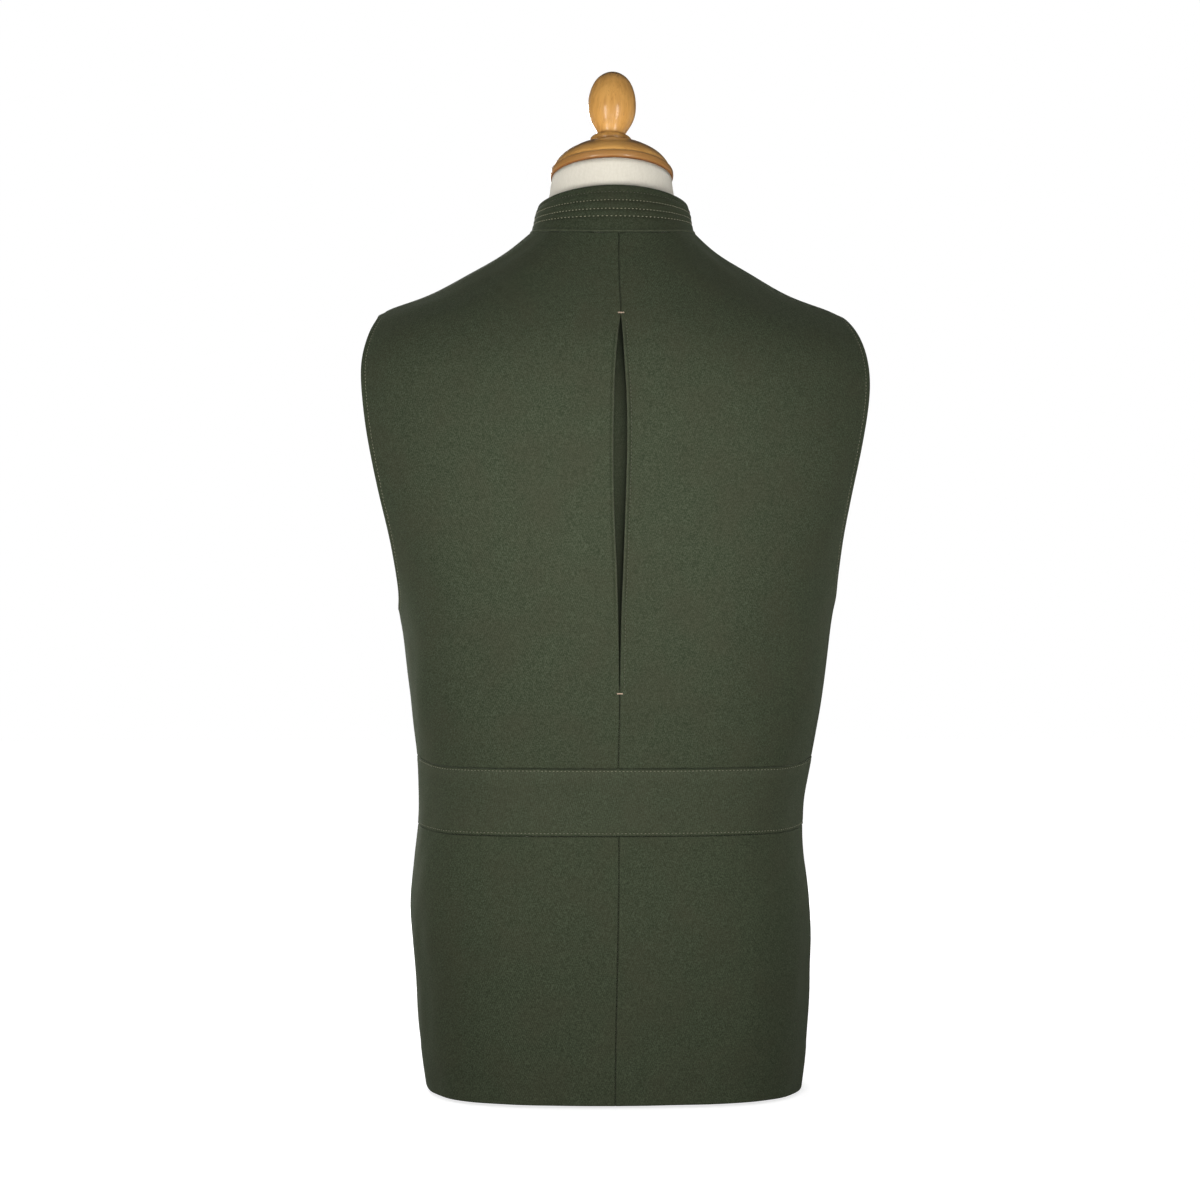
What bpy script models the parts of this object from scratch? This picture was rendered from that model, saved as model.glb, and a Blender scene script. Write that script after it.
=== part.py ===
"""A wool gilet with a stand collar, worn on a limbless table-top dress form.

Metres, +Z up, the form's flat base on z = 0, the wearer facing -Y and the wearer's left at +X.

Every cloth piece is a wall that lies on one skin. The skin is a tube through level rings, from
the hem up over the shoulders to the neck seam. A place on it has an angle, 0 at the centre back,
90 at the wearer's left side and 180 at the centre front, and a level, which is the height at
which its ring crosses the centre back.
"""

import math
from collections import namedtuple

import bmesh
import bpy
import numpy as np

MM = 0.001

# ------------------------------------------------------------------ driving sizes

WALL = 2.2 * MM  # melton cloth with its lining
SEAM_GAP = 0.3 * MM  # parting between neighbouring pieces
HEM = 3 * MM
NECK_SEAM = 682 * MM  # height of the neck seam at the centre back
COLLAR_TOP = 720.6 * MM

SIDE_SEAM_DEG = 91.0
SHOULDER_SEAM_DEG = 86.0
UNDERARM = 384 * MM  # level of the armhole's lowest point
SHOULDER_POINT = 593 * MM  # level of the armhole's highest point
ARMHOLE_BACK_DEG = 29.0  # how far the armhole is cut into the back
ARMHOLE_FRONT_DEG = 39.0  # and into the front

BELT_LOW = 210.5 * MM
BELT_HIGH = 262.5 * MM
BELT_LOW_RISE = 3.0 * MM  # the belt's edges climb towards the side seams
BELT_HIGH_RISE = 5.5 * MM
BELT_RISE_FROM_DEG, BELT_RISE_TO_DEG = 48.0, 86.0

PLEAT_LOW = 321 * MM  # lower and upper bar tacks
PLEAT_HIGH = 615 * MM
PLEAT_OPENING = 9.6 * MM  # the widest that the pleat springs open
PLEAT_SLIT = 0.7 * MM  # what shows where it is all but closed
PLEAT_LOW_POWER, PLEAT_HIGH_POWER = 2.3, 1.15
UNDERLAY_HALF_DEG = 9.0
UNDERLAY_LOW, UNDERLAY_HIGH = 300 * MM, 632 * MM
UNDERLAY_NEAR, UNDERLAY_FAR = 0.5 * MM, 3.6 * MM  # how far it lies behind the back's wall

LAP = 17 * MM  # how far each front edge passes the centre front
LAP_CLIMB = (44 * MM, 26 * MM)  # the left front climbs onto the right one between these
LAP_STEP = WALL + 0.5 * MM  # and lies this far over it

BUTTON_COUNT = 6
BUTTON_RADIUS = 10 * MM
BUTTON_THICK = 3.6 * MM
BUTTON_TOP, BUTTON_BOTTOM = 578 * MM, 118 * MM  # heights at the centre front

SHIFT_X, SHIFT_Y = -1.1 * MM, 3.6 * MM  # puts the middle of the whole part over the origin

FORM_TILT_DEG = 14.0  # the neck leans forward
CAP_CENTRE = (0.9 * MM, -2.4 * MM, 733.0 * MM)
NECK_TOP = CAP_CENTRE[2] + 11.4 * MM  # the neck's height at the centre back, under the cap

# ------------------------------------------------------------------ ring tables, in millimetres

Ring = namedtuple(
    "Ring", "level side_z front_z half_width back_y front_y side_y corner bend sway"
)
# corner squares the ring off, bend is the power of its rise from side to centre,
# sway moves its middle towards the wearer's left.

SKIN_RINGS = [
    Ring(3, 3, 3, 150.4, 113.0, -116.0, 0, 0.050, 2, 0.2),
    Ring(45, 45, 45, 155.6, 116.5, -118.5, 0, 0.050, 2, 0.8),
    Ring(95, 95, 95, 158.8, 118.5, -119.5, 0, 0.050, 2, 1.5),
    Ring(150, 150, 150, 160.6, 117.5, -118.5, 0, 0.048, 2, 3.2),
    Ring(212, 212, 212, 154.4, 109.5, -113.0, 0, 0.045, 2, 3.4),
    Ring(265, 265, 265, 158.2, 111.5, -113.5, 0, 0.045, 2, 0.2),
    Ring(330, 331, 330, 167.8, 118.5, -119.5, 0, 0.045, 2, -1.6),
    Ring(390, 393, 388, 177.0, 124.0, -126.0, 0, 0.042, 2, -1.6),
    Ring(450, 468, 438, 202.0, 126.5, -129.0, 0, 0.036, 2, 0.8),
    Ring(500, 530, 474, 221.0, 125.5, -126.5, 0, 0.026, 2, 0.8),
    Ring(545, 582, 503, 223.0, 123.5, -118.0, 0, 0.016, 2, 1.0),
    Ring(575, 609, 520, 207.0, 119.0, -109.5, 0, 0.008, 2, 2.0),
    Ring(600, 625.5, 535, 178.5, 111.0, -100.5, 0, 0.000, 2, 3.6),
    Ring(622, 637.5, 550, 145.5, 100.5, -91.0, 1, 0.000, 2, 4.0),
    Ring(645, 655, 568, 112.8, 88.0, -80.5, 2, 0.000, 2, 3.8),
    Ring(666, 672, 585.5, 84.6, 76.5, -70.5, 4, 0.000, 2, 2.8),
    Ring(682, 687.5, 600, 66.2, 68.5, -62.0, 5, 0.000, 2, 1.6),
]

COLLAR_RINGS = [
    Ring(682.0, 687.5, 600.0, 66.2, 68.5, -62.0, 5, 0, 2.0, 1.6),
    Ring(694.5, 694.8, 611.0, 64.0, 67.2, -62.6, 4, 0, 1.8, 1.4),
    Ring(707.5, 703.0, 622.5, 62.6, 63.8, -61.2, 3, 0, 1.6, 1.2),
    Ring(720.6, 710.8, 634.0, 59.8, 59.0, -58.6, 1, 0, 1.5, 1.0),
]

FORM_RINGS = [
    Ring(0, 0, 0, 128.0, 93.0, -94.0, 0, 0.040, 2, 1.2),
    Ring(60, 60, 60, 139.5, 101.0, -101.5, 0, 0.040, 2, 2.2),
    Ring(140, 140, 140, 149.5, 106.0, -106.0, 0, 0.040, 2, 3.6),
    Ring(215, 215, 215, 145.0, 98.0, -101.5, 0, 0.040, 2, 3.2),
    Ring(265, 265, 265, 147.5, 99.5, -102.5, 0, 0.040, 2, 0.6),
    Ring(330, 330, 330, 157.5, 106.5, -109.0, 0, 0.040, 2, -1.4),
    Ring(390, 390, 388, 166.0, 112.0, -116.5, 0, 0.036, 2, -1.8),
    Ring(450, 452, 438, 175.5, 114.5, -120.5, 0, 0.030, 2, -0.8),
    Ring(500, 507, 474, 184.5, 113.5, -118.0, 0, 0.020, 2, 0.6),
    Ring(545, 560, 503, 189.0, 112.0, -110.0, 0, 0.010, 2, 1.8),
    Ring(575, 594, 519, 184.5, 108.0, -102.0, 0, 0.004, 2, 2.8),
    Ring(600, 615, 533, 169.0, 101.0, -93.5, 0, 0.000, 2, 3.6),
    Ring(622, 629.5, 547.5, 144.0, 91.5, -84.5, 1, 0.000, 2, 4.0),
    Ring(645, 648, 565, 113.0, 80.0, -75.0, 2, 0.000, 2, 3.8),
    Ring(666, 665.5, 582.5, 84.5, 69.5, -65.5, 4, 0.000, 2, 2.8),
    Ring(682, 680.0, 599, 62.8, 62.5, -54.6, 4, 0.000, 1.9, 2.0),
    Ring(698, 697, 632, 55.2, 57.8, -50.8, 2, 0.000, 1.6, 2.0),
    Ring(718, 714, 676, 51.4, 49.6, -51.8, -2, 0.000, 1.3, 2.0),
    Ring(744.4, 732.7, 721.0, 48.6, 41.2, -53.2, -6, 0.000, 1.0, 2.0),
]

# Level, and how far the centre back seam runs to the wearer's left of the rings' middle there.
CENTRE_LINE = [
    (3, 3.0), (50, 2.0), (97, 0.4), (143, -2.0), (185, -3.6), (210.5, -3.2), (262.5, 0.4), (300, 1.1),
    (347, 1.8), (393, 1.5), (424, 0.1), (454, -0.8), (500, -1.0), (546, -1.5), (577, -2.6),
    (600, -4.6), (618, -5.5), (642, -4.8), (682, -3.0),
]

Fold = namedtuple("Fold", "angle lean width height low high")
# angle and width in degrees, lean in degrees per metre of level, height in millimetres with
# a ridge above nought, low and high in millimetres of level. Each fold dies away at its ends.

FOLDS = [
    Fold(20, 0, 13, 2.2, 430, 640),  # the left shoulder blade
    Fold(-21, 0, 13, 2.0, 420, 635),  # the right shoulder blade
    Fold(15, -30, 4.5, 1.3, 280, 545),
    Fold(-23, 20, 5.0, 1.4, 255, 500),
    Fold(34, -60, 6.0, -1.2, 270, 470),
    Fold(-40, 50, 6.5, -1.3, 265, 480),
    Fold(62, -40, 7.0, 1.6, 265, 400),
    Fold(-64, 30, 7.0, 1.5, 262, 405),
    Fold(30, 10, 8.0, 1.2, 0, 190),
    Fold(-36, -15, 8.0, 1.3, 0, 200),
    Fold(66, 25, 7.0, -1.3, 0, 185),
    Fold(-70, -20, 7.5, -1.2, 0, 195),
    Fold(120, 0, 7.0, 1.6, 20, 330),
    Fold(-123, 0, 7.5, 1.7, 10, 350),
    Fold(143, 50, 6.0, -1.5, 60, 420),
    Fold(-146, -40, 6.5, -1.4, 40, 400),
    Fold(138, 0, 14, 2.0, 400, 560),  # the chest, left and right
    Fold(-138, 0, 14, 2.0, 400, 560),
]

# Radius and height of the turned pieces, in millimetres, from the axis below to the axis above.

CAP_PROFILE = [
    (0, 0.3), (48.6, 0.3), (49.7, 1.0), (50.0, 2.4), (50.0, 5.0), (49.4, 6.2), (48.4, 6.8),
    (47.9, 9.0), (45.6, 12.8), (42.4, 16.4), (38.6, 19.6), (34.6, 22.4), (30.2, 25.0),
    (25.4, 27.2), (20.6, 28.9), (16.0, 30.0), (0, 30.0),
]
FINIAL_PROFILE = [
    (0, 30.3), (15.6, 30.3), (16.7, 31.2), (17.0, 32.8), (16.5, 34.4), (14.8, 35.6), (12.3, 36.6),
    (11.0, 38.2), (11.3, 40.8), (14.2, 48.2), (17.4, 56.6), (18.95, 65.0), (18.5, 73.6),
    (16.4, 80.8), (13.2, 86.4), (9.0, 90.3), (5.2, 92.3), (0, 93.0),
]
BUTTON_PROFILE = [
    (0, 0), (6.6, 0), (9.2, 0.7), (10.0, 1.9), (9.6, 3.0), (8.7, 3.6), (7.6, 3.5), (6.8, 2.7),
    (0, 2.5),
]

# ------------------------------------------------------------------ grid counts

SKIRT_ROWS, BELT_ROWS, WAIST_ROWS, ARMHOLE_ROWS, SHOULDER_ROWS = 7, 2, 5, 10, 6
BACK_COLUMNS, FRONT_COLUMNS, COLLAR_ROWS = 12, 14, 4
FORM_SIDES, FORM_STEPS = 48, 30
CAP_SIDES, FINIAL_SIDES, BUTTON_SIDES = 36, 28, 18


# ------------------------------------------------------------------ curves and skins


def smooth_step(value, start, end):
    """0 before start, 1 after end, easing in between."""
    share = np.clip((np.asarray(value, float) - start) / (end - start), 0, 1)
    return share * share * (3 - 2 * share)


class Spline:
    """The natural cubic through values at knots."""

    def __init__(self, knots, values):
        self.knots, self.values = np.array(knots, float), np.array(values, float)
        step = np.diff(self.knots)
        slope = np.diff(self.values) / step
        inner = len(step) - 1
        matrix = np.diag(2 * (step[:-1] + step[1:]))
        matrix += np.diag(step[1:-1], 1) + np.diag(step[1:-1], -1)
        bends = np.linalg.solve(matrix, 6 * np.diff(slope)) if inner else []
        self.bends = np.concatenate([[0], bends, [0]])

    def __call__(self, at):
        left = np.clip(np.searchsorted(self.knots, at) - 1, 0, len(self.knots) - 2)
        width = self.knots[left + 1] - self.knots[left]
        after = (at - self.knots[left]) / width
        before = 1 - after
        curve = (before**3 - before) * self.bends[left]
        curve = curve + (after**3 - after) * self.bends[left + 1]
        straight = before * self.values[left] + after * self.values[left + 1]
        return straight + curve * width**2 / 6


def fold_height(angle, level):
    """How far the folds lift the cloth at an angle in degrees and a level in metres."""
    lift = np.zeros(np.broadcast(angle, level).shape)
    for fold in FOLDS:
        low, high = fold.low * MM, fold.high * MM
        middle = (low + high) / 2
        across = (angle - fold.angle - fold.lean * (level - middle)) / fold.width
        along = np.clip((level - low) / (high - low), 0, 1)
        lift = lift + fold.height * MM * np.exp(-(across**2)) * np.sin(math.pi * along) ** 1.5
    return lift


class Skin:
    """A smooth tube through a table of rings."""

    def __init__(self, rings, folded=False):
        levels = [ring.level * MM for ring in rings]
        sizes = set(Ring._fields) - {"corner", "bend"}
        self.folded = folded
        self.curves = {
            name: Spline(levels, [getattr(r, name) * (MM if name in sizes else 1) for r in rings])
            for name in Ring._fields
        }

    def bare(self, angle, level):
        """The point of the skin with no thickness and no folds added."""
        ring = {name: curve(level) for name, curve in self.curves.items()}
        turn, corner = np.radians(angle), ring["corner"]
        across = (np.sin(turn) + corner * np.sin(3 * turn)) / (1 - corner)
        along = (np.cos(turn) - corner * np.cos(3 * turn)) / (1 - corner)
        is_back = np.cos(turn) > 0
        reach = np.where(is_back, ring["back_y"] - ring["side_y"], ring["side_y"] - ring["front_y"])
        centre_z = np.where(is_back, level, ring["front_z"])
        rise = np.abs(np.cos(turn)) ** ring["bend"]
        return np.stack(
            [
                SHIFT_X + ring["sway"] + ring["half_width"] * across,
                SHIFT_Y + ring["side_y"] + reach * along,
                ring["side_z"] + (centre_z - ring["side_z"]) * rise,
            ],
            axis=-1,
        )

    def normal(self, angle, level, turn=0.5, lift=1 * MM):
        """The way out of the skin, from small steps round it and up it."""
        up = self.bare(angle, level + lift) - self.bare(angle, level - lift)
        along = self.bare(angle + turn, level) - self.bare(angle - turn, level)
        outward = np.cross(up, along)
        return outward / np.linalg.norm(outward, axis=-1, keepdims=True)

    def point(self, angle, level, out=0.0):
        """The point that stands out from the skin by out, on top of its folds."""
        angle, level = np.broadcast_arrays(np.asarray(angle, float), np.asarray(level, float))
        lift = fold_height(angle, level) if self.folded else np.zeros(angle.shape)
        lift = lift + out
        return self.bare(angle, level) + self.normal(angle, level) * lift[..., None]

    def angle_of(self, across, level, near=0.0):
        """The angle near the centre back (0) or front (180) at which x is across from the middle."""
        corner = self.curves["corner"](level)
        turn = across / self.curves["half_width"](level)
        for _ in range(6):
            wave = (np.sin(turn) + corner * np.sin(3 * turn)) / (1 - corner)
            slope = (np.cos(turn) + 3 * corner * np.cos(3 * turn)) / (1 - corner)
            turn = turn - (wave - across / self.curves["half_width"](level)) / slope
        return near + np.degrees(turn) * (1 if near == 0 else -1)


CLOTH = Skin(SKIN_RINGS, folded=True)
COLLAR = Skin(COLLAR_RINGS)
FORM = Skin(FORM_RINGS)
CENTRE = Spline(*(np.array(column) * MM for column in zip(*CENTRE_LINE)))


# ------------------------------------------------------------------ solids


def material(name, colour, roughness):
    made = bpy.data.materials.new(name)
    made.use_nodes = True
    shader = made.node_tree.nodes["Principled BSDF"]
    shader.inputs["Base Color"].default_value = (*colour, 1)
    shader.inputs["Roughness"].default_value = roughness
    shader.inputs["Metallic"].default_value = 0
    return made


def finish(name, bm, finish_material, location=(0, 0, 0), tilt_deg=0.0):
    """Turns a bmesh into a named object whose faces point out."""
    bmesh.ops.recalc_face_normals(bm, faces=bm.faces[:])
    if bm.calc_volume(signed=True) < 0:
        bmesh.ops.reverse_faces(bm, faces=bm.faces[:])
    mesh = bpy.data.meshes.new(name)
    bm.to_mesh(mesh)
    bm.free()
    mesh.materials.append(finish_material)
    mesh.shade_smooth()
    mesh.set_sharp_from_angle(angle=math.radians(40))
    made = bpy.data.objects.new(name, mesh)
    made.location = location
    made.rotation_euler = (math.radians(tilt_deg), 0, 0)
    bpy.context.scene.collection.objects.link(made)
    return made


def pulled_in(points, edges):
    """The lattice with the named edges moved half a seam's gap towards its inside."""
    points = points.copy()
    rims = {
        "low": (points[0], points[1]),
        "high": (points[-1], points[-2]),
        "first": (points[:, 0], points[:, 1]),
        "last": (points[:, -1], points[:, -2]),
    }
    for edge in edges:
        rim, inside = rims[edge]
        way = inside - rim
        rim += way / np.linalg.norm(way, axis=-1, keepdims=True) * SEAM_GAP / 2
    return points


def wall(name, skin, angle, level, cloth, out=0.0, edges=(), thick=WALL):
    """A closed wall of cloth over a lattice of angles and levels, rows first."""
    angle, level, out = np.broadcast_arrays(angle, level, np.asarray(out, float))
    layers = [pulled_in(skin.point(angle, level, out - depth), edges) for depth in (0, thick)]
    rows, columns = angle.shape[0] - 1, angle.shape[1] - 1
    bm = bmesh.new()
    bmesh.ops.create_grid(bm, x_segments=columns, y_segments=rows, size=0.5)
    below = bmesh.ops.extrude_face_region(bm, geom=bm.faces[:], use_keep_orig=True)["geom"]
    below = [item for item in below if isinstance(item, bmesh.types.BMVert)]
    bmesh.ops.translate(bm, verts=below, vec=(0, 0, -1))
    for vert in bm.verts:
        row, column = round((vert.co.y + 0.5) * rows), round((vert.co.x + 0.5) * columns)
        vert.co = layers[round(-vert.co.z)][row, column]
    return finish(name, bm, cloth)


def turned(name, profile, sides, wood, location, tilt_deg=0.0):
    """A solid of revolution from radii and heights in millimetres."""
    bm = bmesh.new()
    verts = [bm.verts.new((radius * MM, 0, height * MM)) for radius, height in profile]
    edges = [bm.edges.new(pair) for pair in zip(verts, verts[1:])]
    bmesh.ops.spin(
        bm, geom=verts + edges, cent=(0, 0, 0), axis=(0, 0, 1),
        angle=2 * math.pi, steps=sides, use_merge=True,
    )
    bmesh.ops.remove_doubles(bm, verts=bm.verts[:], dist=0.01 * MM)
    return finish(name, bm, wood, location, tilt_deg)


def closed_form(name, skin, levels, sides, cover):
    """The closed body of a skin: a flat base, rings extruded up it, and a flat top."""
    angles = np.arange(sides) * 360 / sides
    bm = bmesh.new()
    ring = bmesh.ops.create_circle(bm, cap_ends=True, segments=sides, radius=1)["verts"]
    ring.sort(key=lambda vert: math.atan2(vert.co.x, vert.co.y) % (2 * math.pi - 1e-4))
    for vert, place in zip(ring, skin.point(angles, levels[0])):
        vert.co = place
    for level in levels[1:]:
        order = {tuple(vert.co): index for index, vert in enumerate(ring)}
        edges = [e for e in bm.edges if all(v in ring for v in e.verts)]
        made = bmesh.ops.extrude_edge_only(bm, edges=edges)["geom"]
        ring = [item for item in made if isinstance(item, bmesh.types.BMVert)]
        ring.sort(key=lambda vert: order[tuple(vert.co)])
        for vert, place in zip(ring, skin.point(angles, level)):
            vert.co = place
    bmesh.ops.contextual_create(bm, geom=[e for e in bm.edges if all(v in ring for v in e.verts)])
    return finish(name, bm, cover)


# ------------------------------------------------------------------ the cut of each piece


def belt_line(angle, level, rise):
    """An edge of the belt, which climbs towards the side seams."""
    return level + rise * smooth_step(np.abs(angle), BELT_RISE_FROM_DEG, BELT_RISE_TO_DEG)


def armhole(cut_deg):
    """Angles and levels up the armhole, from the underarm to the shoulder point."""
    phase = np.linspace(0, math.pi, ARMHOLE_ROWS + 1)
    middle, half = (SHOULDER_POINT + UNDERARM) / 2, (SHOULDER_POINT - UNDERARM) / 2
    seam = SIDE_SEAM_DEG + (SHOULDER_SEAM_DEG - SIDE_SEAM_DEG) * phase / math.pi
    return seam + cut_deg * np.sin(phase) ** 0.85, middle - half * np.cos(phase)


def outer_edge(side_levels, cut_deg):
    """Angles and levels up a panel's outer edge: side seam, armhole, shoulder seam."""
    arm_angle, arm_level = armhole(cut_deg)
    shoulder = np.linspace(SHOULDER_POINT, NECK_SEAM, SHOULDER_ROWS + 1)[1:]
    angle = np.concatenate(
        [np.full(len(side_levels) - 1, SIDE_SEAM_DEG), arm_angle, np.full(len(shoulder), SHOULDER_SEAM_DEG)]
    )
    return angle, np.concatenate([side_levels[:-1], arm_level, shoulder])


def side_levels(first, last):
    """Levels of the rows on the side seam, shared by the front and the pieces behind it."""
    stops = [HEM, BELT_LOW + BELT_LOW_RISE, BELT_HIGH + BELT_HIGH_RISE, UNDERARM]
    counts = [SKIRT_ROWS, BELT_ROWS, WAIST_ROWS]
    runs = [np.linspace(stops[i], stops[i + 1], counts[i] + 1) for i in range(first, last)]
    return np.concatenate([runs[0]] + [run[1:] for run in runs[1:]])


def centre_levels(stops, counts):
    """Levels of the rows at the centre line."""
    runs = [np.linspace(stops[i], stops[i + 1], counts[i] + 1) for i in range(len(counts))]
    return np.concatenate([runs[0]] + [run[1:] for run in runs[1:]])


def pleat_half_width(level):
    """Half of the opening of the centre back pleat at a level."""
    share = np.clip((level - PLEAT_LOW) / (PLEAT_HIGH - PLEAT_LOW), 0, 1)
    peak = PLEAT_LOW_POWER / (PLEAT_LOW_POWER + PLEAT_HIGH_POWER)
    top = peak**PLEAT_LOW_POWER * (1 - peak) ** PLEAT_HIGH_POWER
    spring = share**PLEAT_LOW_POWER * (1 - share) ** PLEAT_HIGH_POWER / top
    slit = PLEAT_SLIT * smooth_step(share, 0, 0.03) * smooth_step(share, 1, 0.97)
    return (PLEAT_OPENING * spring + slit) / 2


def between(start, end, columns, ease=False):
    """Rows of values from start to end, a column for each step."""
    share = np.linspace(0, 1, columns + 1)
    share = share**2 if ease else share
    return start[:, None] + (end - start)[:, None] * share


def back_upper(side, cloth):
    """An upper back, from the belt to the shoulder, with the pleat's edge at its centre."""
    outer_angle, outer_level = outer_edge(side_levels(2, 3), -ARMHOLE_BACK_DEG)
    inner_level = centre_levels(
        [BELT_HIGH, UNDERARM - 4 * MM, SHOULDER_POINT + 6 * MM, NECK_SEAM],
        [WAIST_ROWS, ARMHOLE_ROWS, SHOULDER_ROWS],
    )
    level = between(inner_level, outer_level, BACK_COLUMNS, ease=True)
    inner_across = pleat_half_width(inner_level) + side * CENTRE(inner_level)
    inner_angle = CLOTH.angle_of(inner_across, inner_level)
    angle = between(inner_angle, outer_angle, BACK_COLUMNS)
    level[0] = belt_line(angle[0], BELT_HIGH, BELT_HIGH_RISE)
    name = "back_upper_left" if side > 0 else "back_upper_right"
    wall(name, CLOTH, side * angle, level, cloth, edges=("low", "high", "first", "last"))


def back_skirt(side, cloth):
    """A lower back, from the hem to the belt."""
    outer_level = side_levels(0, 1)
    inner_level = np.linspace(HEM, BELT_LOW, SKIRT_ROWS + 1)
    inner_angle = CLOTH.angle_of(side * CENTRE(inner_level), inner_level)
    angle = between(inner_angle, np.full(SKIRT_ROWS + 1, SIDE_SEAM_DEG), BACK_COLUMNS)
    share = np.linspace(0, 1, SKIRT_ROWS + 1)[:, None]
    level = HEM + (belt_line(angle, BELT_LOW, BELT_LOW_RISE) - HEM) * share
    level[:, -1], level[:, 0] = outer_level, inner_level
    name = "back_skirt_left" if side > 0 else "back_skirt_right"
    wall(name, CLOTH, side * angle, level, cloth, edges=("high", "first", "last"))


def back_belt(cloth):
    """The half belt across the back, from side seam to side seam."""
    angle = np.linspace(-SIDE_SEAM_DEG, SIDE_SEAM_DEG, 2 * BACK_COLUMNS + 1)
    low = belt_line(angle, BELT_LOW, BELT_LOW_RISE)
    high = belt_line(angle, BELT_HIGH, BELT_HIGH_RISE)
    share = np.linspace(0, 1, BELT_ROWS + 1)[:, None]
    level = low + (high - low) * share
    wall("back_belt", CLOTH, angle, level, cloth, edges=("low", "high", "first", "last"))


def pleat_underlay(cloth):
    """The strip behind the open pleat. It falls away from the right edge where the pleat opens."""
    angle = np.linspace(-UNDERLAY_HALF_DEG, UNDERLAY_HALF_DEG, 7)
    level = np.linspace(UNDERLAY_LOW, UNDERLAY_HIGH, 13)[:, None]
    rightward = smooth_step(-angle, -UNDERLAY_HALF_DEG, UNDERLAY_HALF_DEG)
    opened = pleat_half_width(level) / (PLEAT_OPENING / 2)
    depth = UNDERLAY_NEAR + (UNDERLAY_FAR - UNDERLAY_NEAR) * rightward * opened
    angle = angle + CLOTH.angle_of(CENTRE(level), level)
    wall("pleat_underlay", CLOTH, angle, level, cloth, out=-WALL - depth)


def front(side, cloth):
    """A front, from hem to shoulder. The left one laps over the right one."""
    outer_angle, outer_level = outer_edge(side_levels(0, 3), ARMHOLE_FRONT_DEG)
    inner_level = centre_levels(
        [HEM, BELT_LOW, BELT_HIGH, UNDERARM - 2 * MM, SHOULDER_POINT + 8 * MM, NECK_SEAM],
        [SKIRT_ROWS, BELT_ROWS, WAIST_ROWS, ARMHOLE_ROWS, SHOULDER_ROWS],
    )
    inner_angle = CLOTH.angle_of(-LAP, inner_level, near=180.0)
    angle = between(inner_angle, outer_angle, FRONT_COLUMNS)
    level = between(inner_level, outer_level, FRONT_COLUMNS, ease=True)
    across = CLOTH.bare(angle, level)[..., 0] - CLOTH.bare(180.0, level)[..., 0]
    over = LAP_STEP * smooth_step(across, *LAP_CLIMB) if side > 0 else 0.0
    name = "front_left" if side > 0 else "front_right"
    wall(name, CLOTH, side * angle, level, cloth, out=over, edges=("high", "last"))


def collar(cloth):
    """The stand collar. Its ends meet at the centre front."""
    back = np.linspace(0, SHOULDER_SEAM_DEG, BACK_COLUMNS + 1)
    lap_end = CLOTH.angle_of(-LAP, NECK_SEAM, near=180.0)
    ahead = np.linspace(lap_end, SHOULDER_SEAM_DEG, FRONT_COLUMNS + 1)[::-1]
    ahead = ahead[(ahead > SHOULDER_SEAM_DEG) & (ahead < 176)]
    half = np.concatenate([back, ahead, [179.4]])
    angle = np.concatenate([-half[:0:-1], half])
    level = np.linspace(NECK_SEAM, COLLAR_TOP, COLLAR_ROWS + 1)[:, None]
    wall("collar", COLLAR, angle, level, cloth, edges=("low",))


def button(number, horn):
    """A turned button on the left front, facing the way that the cloth faces."""
    height = BUTTON_TOP + (BUTTON_BOTTOM - BUTTON_TOP) * (number - 1) / (BUTTON_COUNT - 1)
    levels = np.linspace(HEM, NECK_SEAM, 800)
    level = np.interp(height, CLOTH.point(180.0, levels)[:, 2], levels)
    place = CLOTH.point(180.0, level, LAP_STEP + SEAM_GAP)
    way = CLOTH.normal(180.0, level)
    made = turned(f"button_{number}", BUTTON_PROFILE, BUTTON_SIDES, horn, place)
    made.rotation_euler = (math.atan2(-way[1], way[2]), 0, 0)


def main():
    for old in list(bpy.data.objects):
        bpy.data.objects.remove(old)
    cloth = material("green_melton", (0.060, 0.072, 0.046), 0.9)
    linen = material("cream_linen", (0.74, 0.70, 0.60), 0.8)
    beech = material("lacquered_beech", (0.58, 0.33, 0.11), 0.35)
    horn = material("brown_horn", (0.10, 0.055, 0.03), 0.35)

    levels = np.linspace(0, NECK_TOP, FORM_STEPS + 1)
    closed_form("form_body", FORM, levels, FORM_SIDES, linen)
    turned("form_cap", CAP_PROFILE, CAP_SIDES, beech, CAP_CENTRE, FORM_TILT_DEG)
    turned("form_finial", FINIAL_PROFILE, FINIAL_SIDES, beech, CAP_CENTRE, FORM_TILT_DEG)

    for side in (1, -1):
        back_upper(side, cloth)
        back_skirt(side, cloth)
        front(side, cloth)
    back_belt(cloth)
    pleat_underlay(cloth)
    collar(cloth)
    for number in range(1, BUTTON_COUNT + 1):
        button(number, horn)


main()
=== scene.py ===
# %% [markdown]
# # A wool gilet on a dress form
#
# The object is a sleeveless wool coat with a stand collar, seen from behind on a linen dress form
# with a turned wooden cap. Cloth like this is thick and firm, so it is not simulated here. Each
# cut piece is laid as a thin shell on one smooth surface, and the seams, pressed edges and rows of
# stitching are then shaped into that shell, where a tailor would put them.
#
# The first cell loads the imported solids, which fix every size and place.

# %% Load the frame
import math
from collections import namedtuple

import bmesh
import bpy
import numpy as np
from mathutils import Matrix, Vector


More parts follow.
